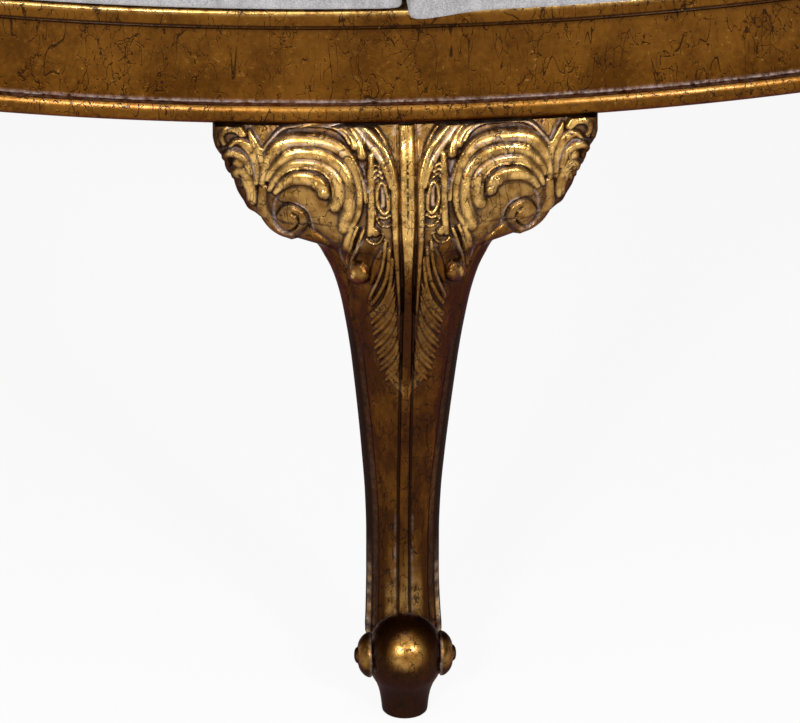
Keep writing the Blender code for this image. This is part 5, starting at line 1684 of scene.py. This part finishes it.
def brushed_steel():
    finish = Finish("zinc_steel")
    streak = finish.noise(600, 3.0, at=finish.stretched((1, 1, 0.1)))
    return finish.shader({"Base Color": finish.blend(streak, (0.36, 0.37, 0.38), (0.62, 0.62, 0.63)),
                          "Metallic": 1.0, "Roughness": 0.28 + streak * 0.2})


def dark_nylon():
    finish = Finish("brown_nylon")
    grain = finish.noise(900, 2.0)
    return finish.shader({"Base Color": finish.blend(grain, (0.03, 0.022, 0.018), (0.07, 0.055, 0.045)),
                          "Roughness": 0.45 + grain * 0.2, "Normal": finish.bump(grain, 0.0002, 0.4)})


INNER_FINISHES = {
    "beech": timber("beech_wood", (0.36, 0.20, 0.095), (0.66, 0.45, 0.26), 40),
    "plywood": timber("birch_plywood", (0.48, 0.33, 0.18), (0.76, 0.60, 0.40), 24),
    "steel": brushed_steel(),
    "nylon": dark_nylon(),
}
INNER_NODES = {
    "rail_spline": "beech", "seat_bearer": "beech", "hub_block": "beech", "deck_panel": "plywood",
    "column_": "plywood", "leg_bolt": "steel", "foot_glide": "nylon",
}
dressed = 0
for node_name, node in frame["nodes"].items():
    for start, slot in INNER_NODES.items():
        if node_name.startswith(start):
            for place in node.material_slots:
                place.material = INNER_FINISHES[slot]
            dressed += 1
print(f"{dressed} inner solids have their own finish")

# %% [markdown]
# ## Floor and light
# The photograph is cut out on white. The floor is pale, and for the camera and for reflections part of it
# glows white, so it reads as a white ground that keeps a soft shadow. Two softboxes stand beside the
# camera, which is where the two spots of light on the foot's ball come from, with a wide one overhead for
# the velvet.

# %% Floor
FLOOR_GLOW = 0.92
FLOOR_PROFILE = ((0, 0.0), (2, 0.0), (6, 0.0), (14, 0.0), (14, -0.02), (0, -0.02))


def white_floor():
    finish = Finish("white_floor")
    pale = finish.blend(finish.noise(3, 2.0), (0.86, 0.86, 0.86), (0.90, 0.90, 0.90))
    finish.shader({"Base Color": pale, "Roughness": 0.9})
    path = [finish.node("ShaderNodeLightPath", {}, {}, name)
            for name in ("Is Camera Ray", "Is Glossy Ray", "Is Transmission Ray")]
    glow = finish.node("ShaderNodeEmission", {}, {"Color": (1, 1, 1, 1), "Strength": 1.0})
    seen = sum(path).held() * FLOOR_GLOW
    mixed = finish.node("ShaderNodeMixShader", {}, {0: seen, 2: glow})
    finish.tree.links.new(finish.surface.outputs[0], mixed.socket.node.inputs[1])
    finish.tree.links.new(mixed.socket, finish.tree.nodes["Material Output"].inputs["Surface"])
    return finish.material


floor_points, floor_faces = turned(FLOOR_PROFILE, 64)
floor_mesh = face_outwards(mesh_from_points("floor", floor_points, floor_faces))
floor_mesh.materials.append(white_floor())
floor = bpy.data.objects.new("floor", floor_mesh)
scene.collection.objects.link(floor)
print("floor laid")

# %% Lamps
def softbox(name, side_angle, height_angle, distance, size, power):
    lamp = bpy.data.objects.new(name, bpy.data.lights.new(name, "AREA"))
    lamp.data.shape = "DISK"
    lamp.data.size = size
    lamp.data.energy = power
    towards = direction_from(math.radians(side_angle), math.radians(height_angle))
    lamp.location = aim + towards * distance
    lamp.rotation_euler = towards.to_track_quat("Z", "Y").to_euler()
    scene.collection.objects.link(lamp)


softbox("softbox_left", side_angle=-20, height_angle=27, distance=3.2, size=0.40, power=52)
softbox("softbox_right", side_angle=25, height_angle=27, distance=3.2, size=0.40, power=46)
softbox("softbox_top", side_angle=5, height_angle=72, distance=3.6, size=2.4, power=36)
room = bpy.data.worlds.new("room")
scene.world = room
room.use_nodes = True
daylight = room.node_tree.nodes["Background"].inputs
daylight["Color"].default_value = (0.92, 0.95, 1.0, 1.0)
daylight["Strength"].default_value = 0.22
print("three softboxes and an even room")

# %% [markdown]
# ## Size and finish
# Velvet and carving may stand a little proud of the solids but not change the sofa's size, so the
# size of the bare model is printed.

# %% Size and finish
print("size of the model:", [round(high - low, 4) for low, high in zip(*cad_box)])
